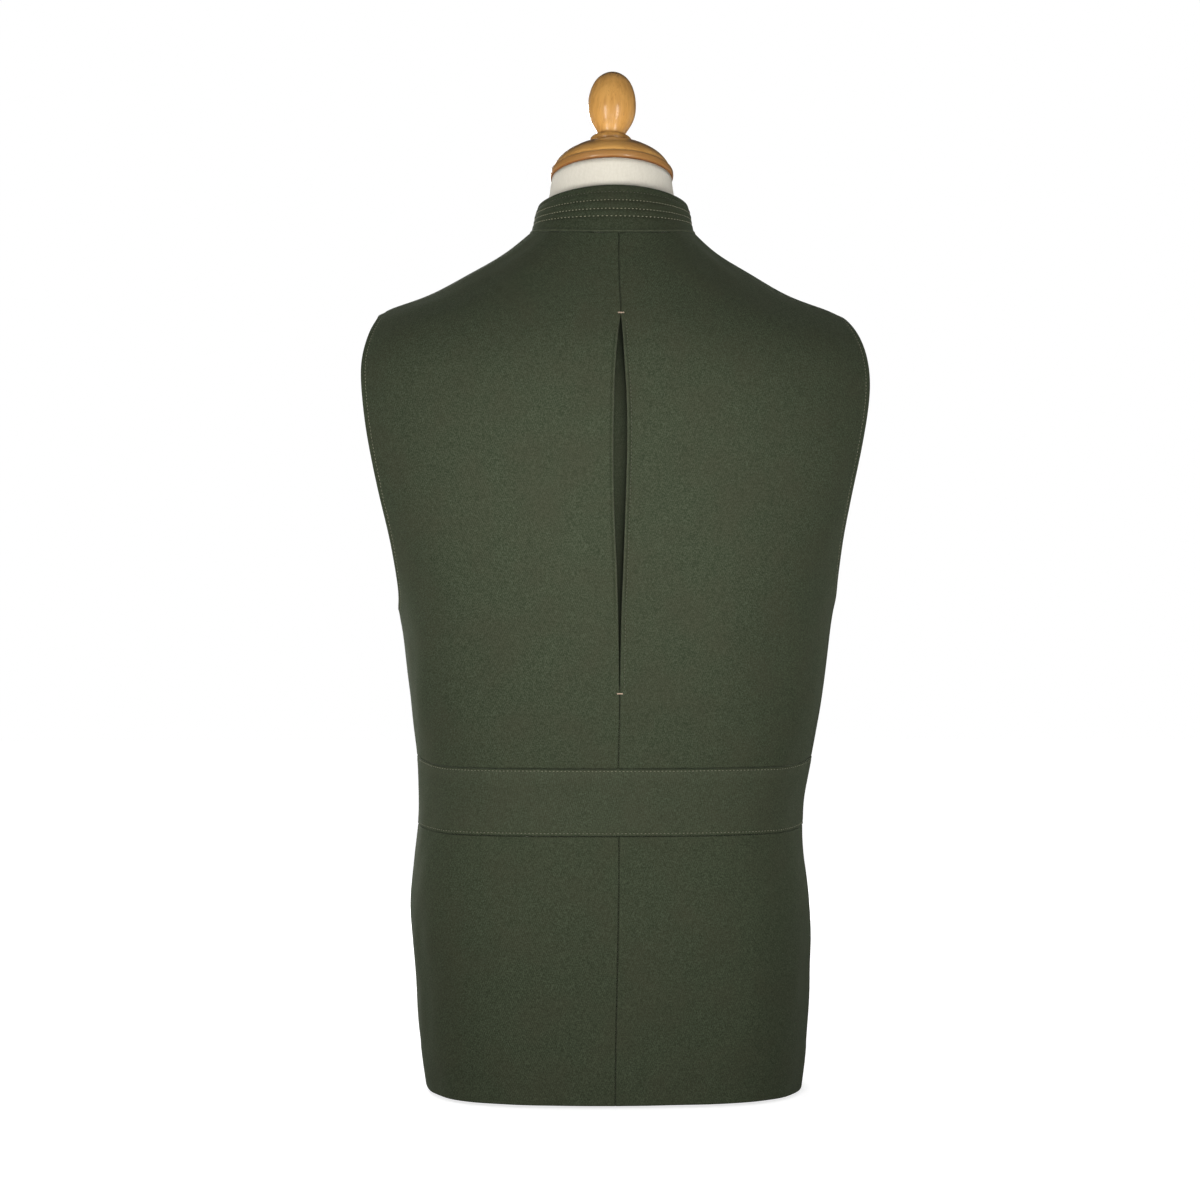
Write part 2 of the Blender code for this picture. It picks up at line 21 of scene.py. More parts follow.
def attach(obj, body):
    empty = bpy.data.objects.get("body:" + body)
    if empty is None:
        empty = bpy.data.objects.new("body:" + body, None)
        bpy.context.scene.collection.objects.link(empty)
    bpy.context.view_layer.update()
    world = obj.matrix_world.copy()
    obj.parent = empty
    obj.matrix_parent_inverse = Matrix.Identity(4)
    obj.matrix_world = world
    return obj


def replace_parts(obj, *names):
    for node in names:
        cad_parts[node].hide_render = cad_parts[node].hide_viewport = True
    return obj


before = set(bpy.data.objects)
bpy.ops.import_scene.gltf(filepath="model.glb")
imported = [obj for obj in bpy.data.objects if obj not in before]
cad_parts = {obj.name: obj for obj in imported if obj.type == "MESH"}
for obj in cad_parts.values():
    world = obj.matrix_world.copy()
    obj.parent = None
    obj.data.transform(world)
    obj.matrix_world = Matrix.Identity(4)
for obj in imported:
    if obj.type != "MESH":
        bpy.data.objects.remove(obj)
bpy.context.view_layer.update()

MM = 0.001

# %% [markdown]
# ## The camera
#
# A product photo of a garment is taken level, with a long lens, from a few metres away. The middle
# of this one is a little below the shoulder blades, and the camera stands slightly to the wearer's
# left. A camera turned with to_track_quat looks along its own -Z, with +Y up.

# %% Camera
CAMERA_PLACE = Vector((0.084, 2.442, 0.393))
CAMERA_AIM = Vector((0.0104, 0.0036, 0.393))
CAMERA_LENS = 90.63  # millimetres, on a sensor 36 mm wide

camera = bpy.data.objects.new("camera", bpy.data.cameras.new("camera"))
camera.data.lens = CAMERA_LENS
camera.location = CAMERA_PLACE
camera.rotation_mode = "QUATERNION"
camera.rotation_quaternion = (CAMERA_AIM - CAMERA_PLACE).to_track_quat("-Z", "Y")
bpy.context.scene.collection.objects.link(camera)
bpy.context.scene.camera = camera
print("camera is", round((CAMERA_AIM - CAMERA_PLACE).length, 3), "m away")

# %% [markdown]
# ## Shader maths as Python
#
# A material is a graph of nodes. Wiring it by hand hides the idea, so two small classes let a
# material read as a formula. A Signal wraps one output socket, and its + - * / add Math nodes. A
# Recipe owns one material and makes every other node through a single method.

# %% Signals and recipes
class Signal:
    """One output socket of a material. Arithmetic on it adds Math nodes."""

    def __init__(self, recipe, socket):
        self.recipe, self.socket = recipe, socket

    def math(self, operation, *numbers):
        return self.recipe.node("ShaderNodeMath", {"operation": operation}, dict(enumerate(numbers)))

    def __add__(self, other):
        return self.math("ADD", self, other)

    def __sub__(self, other):
        return self.math("SUBTRACT", self, other)

    def __rsub__(self, other):
        return self.math("SUBTRACT", other, self)

    def __mul__(self, other):
        return self.math("MULTIPLY", self, other)

    __radd__, __rmul__ = __add__, __mul__

    def ease(self, low, high):
        """0 below low and 1 above high, with soft shoulders."""
        settings = {"interpolation_type": "SMOOTHSTEP"}
        sockets = {"Value": self, "From Min": low, "From Max": high}
        return self.recipe.node("ShaderNodeMapRange", settings, sockets)


class Recipe:
    """A material that is built from its nodes."""

    def __init__(self, name):
        self.material = bpy.data.materials.new(name)
        self.material.use_nodes = True
        self.tree = self.material.node_tree
        self.shader = self.tree.nodes["Principled BSDF"]

    def feed(self, socket, value):
        if isinstance(value, Signal):
            self.tree.links.new(value.socket, socket)
        else:
            socket.default_value = value

    def node(self, kind, settings, sockets, output=0):
        made = self.tree.nodes.new(kind)
        stops = settings.get("stops", ())
        for name in settings.keys() - {"stops"}:
            setattr(made, name, settings[name])
        for number, (place, colour) in enumerate(stops):
            ramp = made.color_ramp.elements
            stop = ramp[number] if number < len(ramp) else ramp.new(place)
            stop.position, stop.color = place, (*colour, 1)
        for name, value in sockets.items():
            self.feed(made.inputs[name], value)
        return Signal(self, made.outputs[output])

    def place(self, stretch=(1, 1, 1), turn_deg=(0, 0, 0), kind="Object"):
        """The surface's own coordinates in metres, stretched and turned."""
        source = self.node("ShaderNodeTexCoord", {}, {}, kind)
        turn = [math.radians(angle) for angle in turn_deg]
        sockets = {"Vector": source, "Scale": stretch, "Rotation": turn}
        return self.node("ShaderNodeMapping", {}, sockets)

    def height(self, upright):
        """The height of a point in metres, once the matrix upright has set its piece upright."""
        source = self.node("ShaderNodeTexCoord", {}, {}, "Object")
        sockets = {"Vector": source, "Location": upright.to_translation(), "Rotation": upright.to_euler()}
        turned = self.node("ShaderNodeMapping", {}, sockets)
        return self.node("ShaderNodeSeparateXYZ", {}, {"Vector": turned}, "Z")

    def noise(self, where, per_metre, detail=2.0, roughness=0.5):
        sockets = {"Vector": where, "Scale": per_metre, "Detail": detail, "Roughness": roughness}
        return self.node("ShaderNodeTexNoise", {}, sockets)

    def waves(self, where, per_metre, wobble=0.0):
        """Bands across X. A wave's scale of 1 is about 3.2 bands a metre."""
        sockets = {"Vector": where, "Scale": per_metre / 3.183, "Distortion": wobble}
        return self.node("ShaderNodeTexWave", {"bands_direction": "X"}, sockets)

    def blend(self, factor, low, high):
        """A colour from low to high."""
        low, high = [(*c, 1) if isinstance(c, tuple) else c for c in (low, high)]
        return self.node("ShaderNodeMix", {"data_type": "RGBA"}, {0: factor, 6: low, 7: high}, 2)

    def bump(self, height, distance, strength=1.0):
        return self.node("ShaderNodeBump", {}, {"Height": height, "Distance": distance, "Strength": strength})

    def finish(self, **inputs):
        """Sets the shader's sockets, named with _ for a space, and returns the material."""
        for name, value in inputs.items():
            value = (*value, 1) if isinstance(value, tuple) else value
            self.feed(self.shader.inputs[name.replace("_", " ")], value)
        return self.material


# %% [markdown]
# ## Fulled wool
#
# The cloth is a melton: a wool that is milled until its weave closes under a short nap. Up close it
# is a mixture of dark, mid and pale green fibres, so its colour is mottled at about a millimetre,
# and drifts a little over centimetres. The nap scatters light at grazing angles, which is what the
# shader's sheen is for, and gives almost no gloss. The mottling reads Object coordinates, because
# it has no direction, and the faint rib of the weave reads the piece's own UV map, in metres. Each
# piece also carries an attribute, tone, that paints light into the colour: a painted highlight
# along folded and proud edges, and painted shade beside seams, below rows of stitches and in the
# bottom of a crease.

# %% Wool, thread and bar tack
WOOL_DARK = (0.0190, 0.0238, 0.0135)
WOOL_MID = (0.0320, 0.0395, 0.0228)
WOOL_PALE = (0.0525, 0.0630, 0.0390)
WOOL_WARM = (0.0370, 0.0360, 0.0220)
# Painted light: a highlight colour for edges and a shade colour for seams and creases.
WOOL_PAINTED_HIGHLIGHT = (0.0850, 0.0880, 0.0600)
WOOL_PAINTED_SHADE = (0.0040, 0.0048, 0.0028)
WOOL_SHEEN = (0.52, 0.58, 0.42)


def wool(name):
    """The fulled wool. The piece's own tone attribute is above 0 where a painted highlight lies along
    an edge, and below 0 where painted shade lies beside a seam or in the bottom of a crease."""
    recipe = Recipe(name)
    here = recipe.place()
    fibres = recipe.noise(here, 900, detail=2, roughness=0.7)
    tufts = recipe.noise(here, 330, detail=3, roughness=0.6)
    drift = recipe.noise(here, 26, detail=3, roughness=0.6)
    rib = recipe.waves(recipe.place(turn_deg=(0, 0, 24), kind="UV"), 700, wobble=1.5)
    mixture = fibres * 0.80 + tufts * 0.13 + rib * 0.07
    stops = [(0.34, WOOL_DARK), (0.50, WOOL_MID), (0.68, WOOL_PALE)]
    colour = recipe.node("ShaderNodeValToRGB", {"stops": stops}, {"Fac": mixture})
    colour = recipe.blend(drift.ease(0.35, 0.75) * 0.35, colour, WOOL_WARM)
    # The tone attribute paints light: a painted highlight above 0 and painted shade below 0.
    tone = recipe.node("ShaderNodeAttribute", {"attribute_name": "tone"}, {}, output="Fac")
    colour = recipe.blend(tone, colour, WOOL_PAINTED_HIGHLIGHT)
    colour = recipe.blend(tone * -1, colour, WOOL_PAINTED_SHADE)
    nap = fibres * 0.6 + tufts * 0.4 + rib * 0.15
    return recipe.finish(
        Base_Color=colour,
        Roughness=0.92,
        Specular_IOR_Level=0.10,
        Sheen_Weight=0.12,
        Sheen_Roughness=0.45,
        Sheen_Tint=WOOL_SHEEN,
        Normal=recipe.bump(nap, 0.35 * MM, 0.8),
    )


def thread(name, colour):
    """Spun sewing thread: a smooth twist with a slight gloss."""
    recipe = Recipe(name)
    twist = recipe.noise(recipe.place(), 2600, detail=2)
    tone = recipe.blend(twist, tuple(c * 0.72 for c in colour), tuple(min(1, c * 1.25) for c in colour))
    return recipe.finish(Base_Color=tone, Roughness=0.6, Normal=recipe.bump(twist, 0.1 * MM))


GREEN_WOOL = wool("green_wool")
GREEN_THREAD = thread("green_thread", (0.150, 0.145, 0.098))
COLLAR_THREAD = thread("collar_thread", (0.29, 0.27, 0.18))
DULL_THREAD = thread("dull_thread", (0.055, 0.051, 0.032))
PALE_THREAD = thread("pale_thread", (0.42, 0.31, 0.23))
print("wool and thread are mixed")

# %% [markdown]
# ## Linen, beech and horn
#
# Linen is a plain weave, so two sets of bands that cross make its threads, with thick and thin
# places from a stretched noise. Beech is nearly plain: short dark flecks and soft streaks that run
# along the grain, under a clear lacquer, which is the shader's coat. Horn is dark with paler
# streaks, and is polished.

# %% Linen, wood and horn
def linen():
    recipe = Recipe("cream_linen")
    warp = recipe.waves(recipe.place(kind="UV"), 900, wobble=0.8)
    weft = recipe.waves(recipe.place(turn_deg=(0, 0, 90), kind="UV"), 900, wobble=0.8)
    slubs = recipe.noise(recipe.place(stretch=(1, 1, 0.12)), 700, detail=2)
    weave = warp * 0.5 + weft * 0.5
    tone = recipe.blend(weave * 0.6 + slubs * 0.4, (0.61, 0.56, 0.45), (0.88, 0.84, 0.74))
    return recipe.finish(
        Base_Color=tone,
        Roughness=0.85,
        Specular_IOR_Level=0.25,
        Sheen_Weight=0.15,
        Normal=recipe.bump(weave + slubs * 0.5, 0.15 * MM, 0.7),
    )


def beech(name, grain, lip=None):
    """Lacquered beech. grain is the stretch of its pattern, small along the fibres. A lip is the
    height of a turned edge: a painted highlight runs along it, painted shade darkens the band below
    it, and a painted shadow lies at the foot of the piece."""
    recipe = Recipe(name)
    along = recipe.place(stretch=grain)
    streaks = recipe.noise(along, 230, detail=5, roughness=0.65)
    broad = recipe.noise(along, 55, detail=3, roughness=0.55)
    flecks = recipe.noise(along, 900, detail=2).ease(0.60, 0.72)
    tone = recipe.blend(streaks.ease(0.30, 0.70), (0.54, 0.255, 0.055), (0.74, 0.385, 0.100))
    tone = recipe.blend(broad.ease(0.35, 0.75) * 0.6, tone, (0.82, 0.455, 0.135))
    tone = recipe.blend(flecks * 0.35, tone, (0.38, 0.160, 0.040))
    if lip:
        # Painted light on the turned rim: a highlight along the lip, shade over the band below it and a shadow
        # at the foot.
        height = recipe.height(CAP_PLACE.inverted())
        painted_highlight = height.ease(lip - 0.9 * MM, lip - 0.1 * MM) - height.ease(lip + 0.1 * MM, lip + 0.7 * MM)
        tone = recipe.blend(height.ease(lip - 0.2 * MM, lip - 0.9 * MM) * 0.85, tone, (0.32, 0.150, 0.042))
        tone = recipe.blend(painted_highlight * 0.45, tone, (0.90, 0.62, 0.32))
        tone = recipe.blend(height.ease(1.4 * MM, 0.5 * MM) * 0.7, tone, (0.24, 0.085, 0.022))
    return recipe.finish(
        Base_Color=tone,
        Roughness=streaks * 0.12 + 0.38,
        Coat_Weight=0.65,
        Coat_Roughness=0.16,
        Normal=recipe.bump(streaks + flecks, 0.06 * MM, 0.5),
    )


def horn():
    recipe = Recipe("brown_horn")
    streaks = recipe.noise(recipe.place(stretch=(1, 0.25, 0.25)), 260, detail=4, roughness=0.6)
    tone = recipe.blend(streaks.ease(0.35, 0.72), (0.020, 0.012, 0.007), (0.19, 0.105, 0.05))
    return recipe.finish(Base_Color=tone, Roughness=0.28, Coat_Weight=0.3, Coat_Roughness=0.12)


TILT_DEG = 14.0  # the neck leans forward, so its cap does too
CAP_CENTRE = Vector((0.9, -2.4, 733.0)) * MM
CAP_PLACE = Matrix.Translation(CAP_CENTRE) @ Matrix.Rotation(math.radians(TILT_DEG), 4, "X")
RIM_TOP = 6.5 * MM

CREAM_LINEN = linen()
FINIAL_BEECH = beech("finial_beech", (1, 1, 0.10))
CAP_BEECH = beech("cap_beech", (0.10, 1, 1), lip=RIM_TOP)
BROWN_HORN = horn()
print("linen, beech and horn are mixed")

# %% [markdown]
# ## The surface that the cloth lies on
#
# The gilet is a tube, from the hem up over the shoulders to the neck seam. A tailor would measure it
# in rings: round the hip, the waist, the chest, over the shoulders and round the neck. Here each row
# of a table is one ring, and a smooth curve through every column gives all the rings between. The
# table is the one that the solids were made from, so the shells lie where they do.
#
# A place on the tube has an angle, 0 at the centre back, 90 at the wearer's left side and 180 at the
# centre front, and a level, which is the ring's height at the centre back.

# %% Ring tables, in millimetres
Ring = namedtuple(
    "Ring", "level side_z front_z half_width back_y front_y side_y corner bend sway"
)

SKIN_RINGS = [
    Ring(3, 3, 3, 150.4, 113.0, -116.0, 0, 0.050, 2, 0.2),
    Ring(45, 45, 45, 155.6, 116.5, -118.5, 0, 0.050, 2, 0.8),
    Ring(95, 95, 95, 158.8, 118.5, -119.5, 0, 0.050, 2, 1.5),
    Ring(150, 150, 150, 160.6, 117.5, -118.5, 0, 0.048, 2, 3.2),
    Ring(212, 212, 212, 154.4, 109.5, -113.0, 0, 0.045, 2, 3.4),
    Ring(265, 265, 265, 158.2, 111.5, -113.5, 0, 0.045, 2, 0.2),
    Ring(330, 331, 330, 167.8, 118.5, -119.5, 0, 0.045, 2, -1.6),
    Ring(390, 393, 388, 177.0, 124.0, -126.0, 0, 0.042, 2, -1.6),
    Ring(450, 468, 438, 202.0, 126.5, -129.0, 0, 0.036, 2, 0.8),
    Ring(500, 530, 474, 221.0, 125.5, -126.5, 0, 0.026, 2, 0.8),
    Ring(545, 582, 503, 223.0, 123.5, -118.0, 0, 0.016, 2, 1.0),
    Ring(575, 609, 520, 207.0, 119.0, -109.5, 0, 0.008, 2, 2.0),
    Ring(600, 625.5, 535, 178.5, 111.0, -100.5, 0, 0.000, 2, 3.6),
    Ring(622, 637.5, 550, 145.5, 100.5, -91.0, 1, 0.000, 2, 4.0),
    Ring(645, 655, 568, 112.8, 88.0, -80.5, 2, 0.000, 2, 3.8),
    Ring(666, 672, 585.5, 84.6, 76.5, -70.5, 4, 0.000, 2, 2.8),
    Ring(682, 687.5, 600, 66.2, 68.5, -62.0, 5, 0.000, 2, 1.6),
]

COLLAR_RINGS = [
    Ring(682.0, 687.5, 600.0, 66.2, 68.5, -62.0, 5, 0, 2.0, 1.6),
    Ring(694.5, 694.8, 611.0, 64.0, 67.2, -62.6, 4, 0, 1.8, 1.4),
    Ring(707.5, 703.0, 622.5, 62.6, 63.8, -61.2, 3, 0, 1.6, 1.2),
    Ring(720.6, 710.8, 634.0, 59.8, 59.0, -58.6, 1, 0, 1.5, 1.0),
]

FORM_RINGS = [
    Ring(0, 0, 0, 128.0, 93.0, -94.0, 0, 0.040, 2, 1.2),
    Ring(60, 60, 60, 139.5, 101.0, -101.5, 0, 0.040, 2, 2.2),
    Ring(140, 140, 140, 149.5, 106.0, -106.0, 0, 0.040, 2, 3.6),
    Ring(215, 215, 215, 145.0, 98.0, -101.5, 0, 0.040, 2, 3.2),
    Ring(265, 265, 265, 147.5, 99.5, -102.5, 0, 0.040, 2, 0.6),
    Ring(330, 330, 330, 157.5, 106.5, -109.0, 0, 0.040, 2, -1.4),
    Ring(390, 390, 388, 166.0, 112.0, -116.5, 0, 0.036, 2, -1.8),
    Ring(450, 452, 438, 175.5, 114.5, -120.5, 0, 0.030, 2, -0.8),
    Ring(500, 507, 474, 184.5, 113.5, -118.0, 0, 0.020, 2, 0.6),
    Ring(545, 560, 503, 189.0, 112.0, -110.0, 0, 0.010, 2, 1.8),
    Ring(575, 594, 519, 184.5, 108.0, -102.0, 0, 0.004, 2, 2.8),
    Ring(600, 615, 533, 169.0, 101.0, -93.5, 0, 0.000, 2, 3.6),
    Ring(622, 629.5, 547.5, 144.0, 91.5, -84.5, 1, 0.000, 2, 4.0),
    Ring(645, 648, 565, 113.0, 80.0, -75.0, 2, 0.000, 2, 3.8),
    Ring(666, 665.5, 582.5, 84.5, 69.5, -65.5, 4, 0.000, 2, 2.8),
    Ring(682, 680.0, 599, 62.8, 62.5, -54.6, 4, 0.000, 1.9, 2.0),
    Ring(698, 697, 632, 55.2, 57.8, -50.8, 2, 0.000, 1.6, 2.0),
    Ring(718, 714, 676, 51.4, 49.6, -51.8, -2, 0.000, 1.3, 2.0),
    Ring(744.4, 732.7, 721.0, 48.6, 41.2, -53.2, -6, 0.000, 1.0, 2.0),
]

# Level, and how far the centre back seam runs to the wearer's left of the rings' middle there.
CENTRE_LINE = [
    (3, 3.0), (50, 2.0), (97, 0.4), (143, -2.0), (185, -3.6), (210.5, -3.2), (262.5, 0.4), (300, 1.1),
    (347, 1.8), (393, 1.5), (424, 0.1), (454, -0.8), (500, -1.0), (546, -1.5), (577, -2.6),
    (600, -4.6), (618, -5.5), (642, -4.8), (682, -3.0),
]

SHIFT_X, SHIFT_Y = -1.1 * MM, 3.6 * MM  # puts the middle of the whole part over the origin
print(len(SKIN_RINGS), "rings of cloth,", len(FORM_RINGS), "of the form")

# %% [markdown]
# ## Folds
#
# This cloth is too firm to crease. What shows is long and soft: the swell over each shoulder blade,
# the rise beside the open pleat, drag lines from the waist up to the armholes, and slow waves in
# the skirt. Each row is one such fold, a bell across its width that dies away at both ends. A few
# slow waves on top keep the cloth from looking cast.

# %% Folds, in degrees and millimetres
Fold = namedtuple("Fold", "angle lean width height low high")

FOLDS = [
    Fold(20, 0, 13, 2.2, 430, 640),
    Fold(-21, 0, 13, 2.0, 420, 635),
    Fold(15, -30, 4.5, 1.3, 280, 545),
    Fold(-23, 20, 5.0, 1.4, 255, 500),
    Fold(34, -60, 6.0, -1.2, 270, 470),
    Fold(-40, 50, 6.5, -1.3, 265, 480),
    Fold(62, -40, 7.0, 1.6, 265, 400),
    Fold(-64, 30, 7.0, 1.5, 262, 405),
    Fold(30, 10, 8.0, 1.2, 0, 190),
    Fold(-36, -15, 8.0, 1.3, 0, 200),
    Fold(66, 25, 7.0, -1.3, 0, 185),
    Fold(-70, -20, 7.5, -1.2, 0, 195),
    Fold(120, 0, 7.0, 1.6, 20, 330),
    Fold(-123, 0, 7.5, 1.7, 10, 350),
    Fold(143, 50, 6.0, -1.5, 60, 420),
    Fold(-146, -40, 6.5, -1.4, 40, 400),
    Fold(138, 0, 14, 2.0, 400, 560),
    Fold(-138, 0, 14, 2.0, 400, 560),
]

Wave = namedtuple("Wave", "height turns rises phase")  # mm, per round, per metre, radians

WAVES = [
    Wave(0.22, 9, 5, 0.4),
    Wave(0.18, 14, -9, 2.1),
    Wave(0.12, 23, 14, 4.0),
    Wave(0.10, 5, 21, 5.2),
]


def ease(value, start, end):
    """0 before start, 1 after end, easing in between."""
    share = np.clip((np.asarray(value, float) - start) / (end - start), 0, 1)
    return share * share * (3 - 2 * share)


def fold_height(angle, level):
    """How far folds and waves lift the cloth at an angle in degrees and a level in metres."""
    lift = np.zeros(np.broadcast(angle, level).shape)
    for fold in FOLDS:
        low, high = fold.low * MM, fold.high * MM
        across = (angle - fold.angle - fold.lean * (level - (low + high) / 2)) / fold.width
        along = np.clip((level - low) / (high - low), 0, 1)
        lift = lift + fold.height * MM * np.exp(-(across**2)) * np.sin(math.pi * along) ** 1.5
    for wave in WAVES:
        turn = np.radians(angle) * wave.turns + level * wave.rises * math.tau + wave.phase
        lift = lift + wave.height * MM * np.sin(turn)
    return lift


# %% Smooth curves through the tables
class Spline:
    """The natural cubic through values at knots."""

    def __init__(self, knots, values):
        self.knots, self.values = np.array(knots, float), np.array(values, float)
        step = np.diff(self.knots)
        matrix = np.diag(2 * (step[:-1] + step[1:])) + np.diag(step[1:-1], 1) + np.diag(step[1:-1], -1)
        bends = np.linalg.solve(matrix, 6 * np.diff(np.diff(self.values) / step))
        self.bends = np.concatenate([[0], bends, [0]])

    def __call__(self, at):
        left = np.clip(np.searchsorted(self.knots, at) - 1, 0, len(self.knots) - 2)
        width = self.knots[left + 1] - self.knots[left]
        after = (at - self.knots[left]) / width
        before = 1 - after
        curve = (before**3 - before) * self.bends[left] + (after**3 - after) * self.bends[left + 1]
        return before * self.values[left] + after * self.values[left + 1] + curve * width**2 / 6


class Skin:
    """A smooth tube through a table of rings."""

    def __init__(self, rings, folded=False):
        levels = [ring.level * MM for ring in rings]
        sizes = set(Ring._fields) - {"corner", "bend"}
        self.folded = folded
        self.curves = {
            name: Spline(levels, [getattr(r, name) * (MM if name in sizes else 1) for r in rings])
            for name in Ring._fields
        }

    def bare(self, angle, level):
        """The point of the skin with no thickness and no folds added."""
        ring = {name: curve(level) for name, curve in self.curves.items()}
        turn, corner = np.radians(angle), ring["corner"]
        across = (np.sin(turn) + corner * np.sin(3 * turn)) / (1 - corner)
        along = (np.cos(turn) - corner * np.cos(3 * turn)) / (1 - corner)
        is_back = np.cos(turn) > 0
        reach = np.where(is_back, ring["back_y"] - ring["side_y"], ring["side_y"] - ring["front_y"])
        centre_z = np.where(is_back, level, ring["front_z"])
        x = SHIFT_X + ring["sway"] + ring["half_width"] * across
        y = SHIFT_Y + ring["side_y"] + reach * along
        z = ring["side_z"] + (centre_z - ring["side_z"]) * np.abs(np.cos(turn)) ** ring["bend"]
        return np.stack([x, y, z], axis=-1)

    def normal(self, angle, level, turn=0.5, lift=1 * MM):
        """The way out of the skin, from small steps round it and up it."""
        up = self.bare(angle, level + lift) - self.bare(angle, level - lift)
        along = self.bare(angle + turn, level) - self.bare(angle - turn, level)
        outward = np.cross(up, along)
        return outward / np.linalg.norm(outward, axis=-1, keepdims=True)

    def point(self, angle, level, out=0.0):
        """The point that stands out from the skin by out, on top of its folds."""
        angle, level = np.broadcast_arrays(np.asarray(angle, float), np.asarray(level, float))
        lift = fold_height(angle, level) if self.folded else np.zeros(angle.shape)
        lift = lift + out
        return self.bare(angle, level) + self.normal(angle, level) * lift[..., None]

    def angle_of(self, across, level, near=0.0):
        """The angle near the centre back (0) or front (180) at which x is across from the middle."""
        corner = self.curves["corner"](level)
        aim = across / self.curves["half_width"](level)
        turn = aim
        for _ in range(6):
            wave = (np.sin(turn) + corner * np.sin(3 * turn)) / (1 - corner)
            slope = (np.cos(turn) + 3 * corner * np.cos(3 * turn)) / (1 - corner)
            turn = turn - (wave - aim) / slope
        return near + np.degrees(turn) * (1 if near == 0 else -1)


CLOTH = Skin(SKIN_RINGS, folded=True)
COLLAR = Skin(COLLAR_RINGS)
FORM = Skin(FORM_RINGS)
CENTRE = Spline(*(np.array(column) * MM for column in zip(*CENTRE_LINE)))
print("centre back, neck seam:", CLOTH.point(0, 682 * MM).round(4))

# %% [markdown]
# ## Where the seams run
#
# A pattern drafter fixes the seams by a few numbers: how high the underarm is, how deep the armhole
# is scooped, where the belt crosses. They are the same numbers that the solids were cut with. The
# height of a point on a panel is given as a stage, because the stages are what a seamstress matches
# when two panels meet: -2 is the hem, -1 and 0 the belt's edges, 1 the underarm, 2 the shoulder's
# end and 3 the neck seam.

# %% Seams and edges
WALL = 2.2 * MM  # the cloth with its lining
HEM, NECK_SEAM, COLLAR_TOP = 3 * MM, 682 * MM, 720.6 * MM
SIDE_SEAM_DEG, SHOULDER_SEAM_DEG = 91.0, 86.0
UNDERARM, SHOULDER_POINT = 384 * MM, 593 * MM
ARMHOLE_BACK_DEG, ARMHOLE_FRONT_DEG = 29.0, 39.0
BELT_LOW, BELT_HIGH = 210.5 * MM, 262.5 * MM
BELT_LOW_RISE, BELT_HIGH_RISE = 3.0 * MM, 5.5 * MM
PLEAT_LOW, PLEAT_HIGH = 321 * MM, 615 * MM
PLEAT_OPENING, PLEAT_SLIT = 9.6 * MM, 0.7 * MM
LAP = 17 * MM  # how far each front passes the centre front
LAP_STEP = WALL + 0.5 * MM

STAGES = [-2, -1, 0, 1, 2, 3]
SIDE_STOPS = [HEM, BELT_LOW + BELT_LOW_RISE, BELT_HIGH + BELT_HIGH_RISE, UNDERARM]
BACK_STOPS = [HEM, BELT_LOW, BELT_HIGH, UNDERARM - 4 * MM, SHOULDER_POINT + 6 * MM, NECK_SEAM]
FRONT_STOPS = [HEM, BELT_LOW, BELT_HIGH, UNDERARM - 2 * MM, SHOULDER_POINT + 8 * MM, NECK_SEAM]


def outer_edge(stage, cut_deg):
    """Angle and level of a panel's outer edge: side seam, then armhole, then shoulder seam."""
    share = np.clip(stage - 1, 0, 1)
    angle = SIDE_SEAM_DEG + (SHOULDER_SEAM_DEG - SIDE_SEAM_DEG) * share
    angle = angle + cut_deg * np.abs(np.sin(math.pi * share)) ** 0.85
    middle, half = (SHOULDER_POINT + UNDERARM) / 2, (SHOULDER_POINT - UNDERARM) / 2
    side = np.interp(stage, STAGES[:4], SIDE_STOPS)
    arm = middle - half * np.cos(math.pi * share)
    shoulder = np.interp(stage, STAGES[4:], [SHOULDER_POINT, NECK_SEAM])
    return angle, np.where(stage < 1, side, np.where(stage < 2, arm, shoulder))


def belt_line(angle, level, rise):
    """An edge of the belt, which climbs towards the side seams."""
    return level + rise * ease(np.abs(angle), 48, 86)


def pleat_half_width(level):
    """Half of the opening of the centre back pleat. It springs widest a third of the way up."""
    share = np.clip((level - PLEAT_LOW) / (PLEAT_HIGH - PLEAT_LOW), 0, 1)
    rise, fall = 2.3, 1.15
    peak = rise / (rise + fall)
    spring = (share / peak) ** rise * ((1 - share) / (1 - peak)) ** fall
    slit = PLEAT_SLIT * ease(share, 0, 0.03) * ease(share, 1, 0.97)
    return (PLEAT_OPENING * spring + slit) / 2


# %% Places on each panel
def back_upper_place(across, stage, side):
    outer_angle, outer_level = outer_edge(stage, -ARMHOLE_BACK_DEG)
    inner_level = np.interp(stage, STAGES, BACK_STOPS)
    inner_angle = CLOTH.angle_of(pleat_half_width(inner_level) + side * CENTRE(inner_level), inner_level)
    angle = inner_angle + (outer_angle - inner_angle) * across
    level = inner_level + (outer_level - inner_level) * across**2
    curl = belt_line(angle, 0, BELT_HIGH_RISE) - BELT_HIGH_RISE * across**2
    return angle, level + curl * (1 - ease(stage, 0, 0.5))


def back_skirt_place(across, stage, side):
    inner_level = np.interp(stage, STAGES, BACK_STOPS)
    inner_angle = CLOTH.angle_of(side * CENTRE(inner_level), inner_level)
    angle = inner_angle + (SIDE_SEAM_DEG - inner_angle) * across
    top = belt_line(angle, BELT_LOW, BELT_LOW_RISE)
    return angle, HEM + (top - HEM) * (stage + 2)


def back_belt_place(across, stage, side):
    angle, _ = np.broadcast_arrays(SIDE_SEAM_DEG * (2 * across - 1), stage)
    low = belt_line(angle, BELT_LOW, BELT_LOW_RISE)
    high = belt_line(angle, BELT_HIGH, BELT_HIGH_RISE)
    return angle, low + (high - low) * (stage + 1)


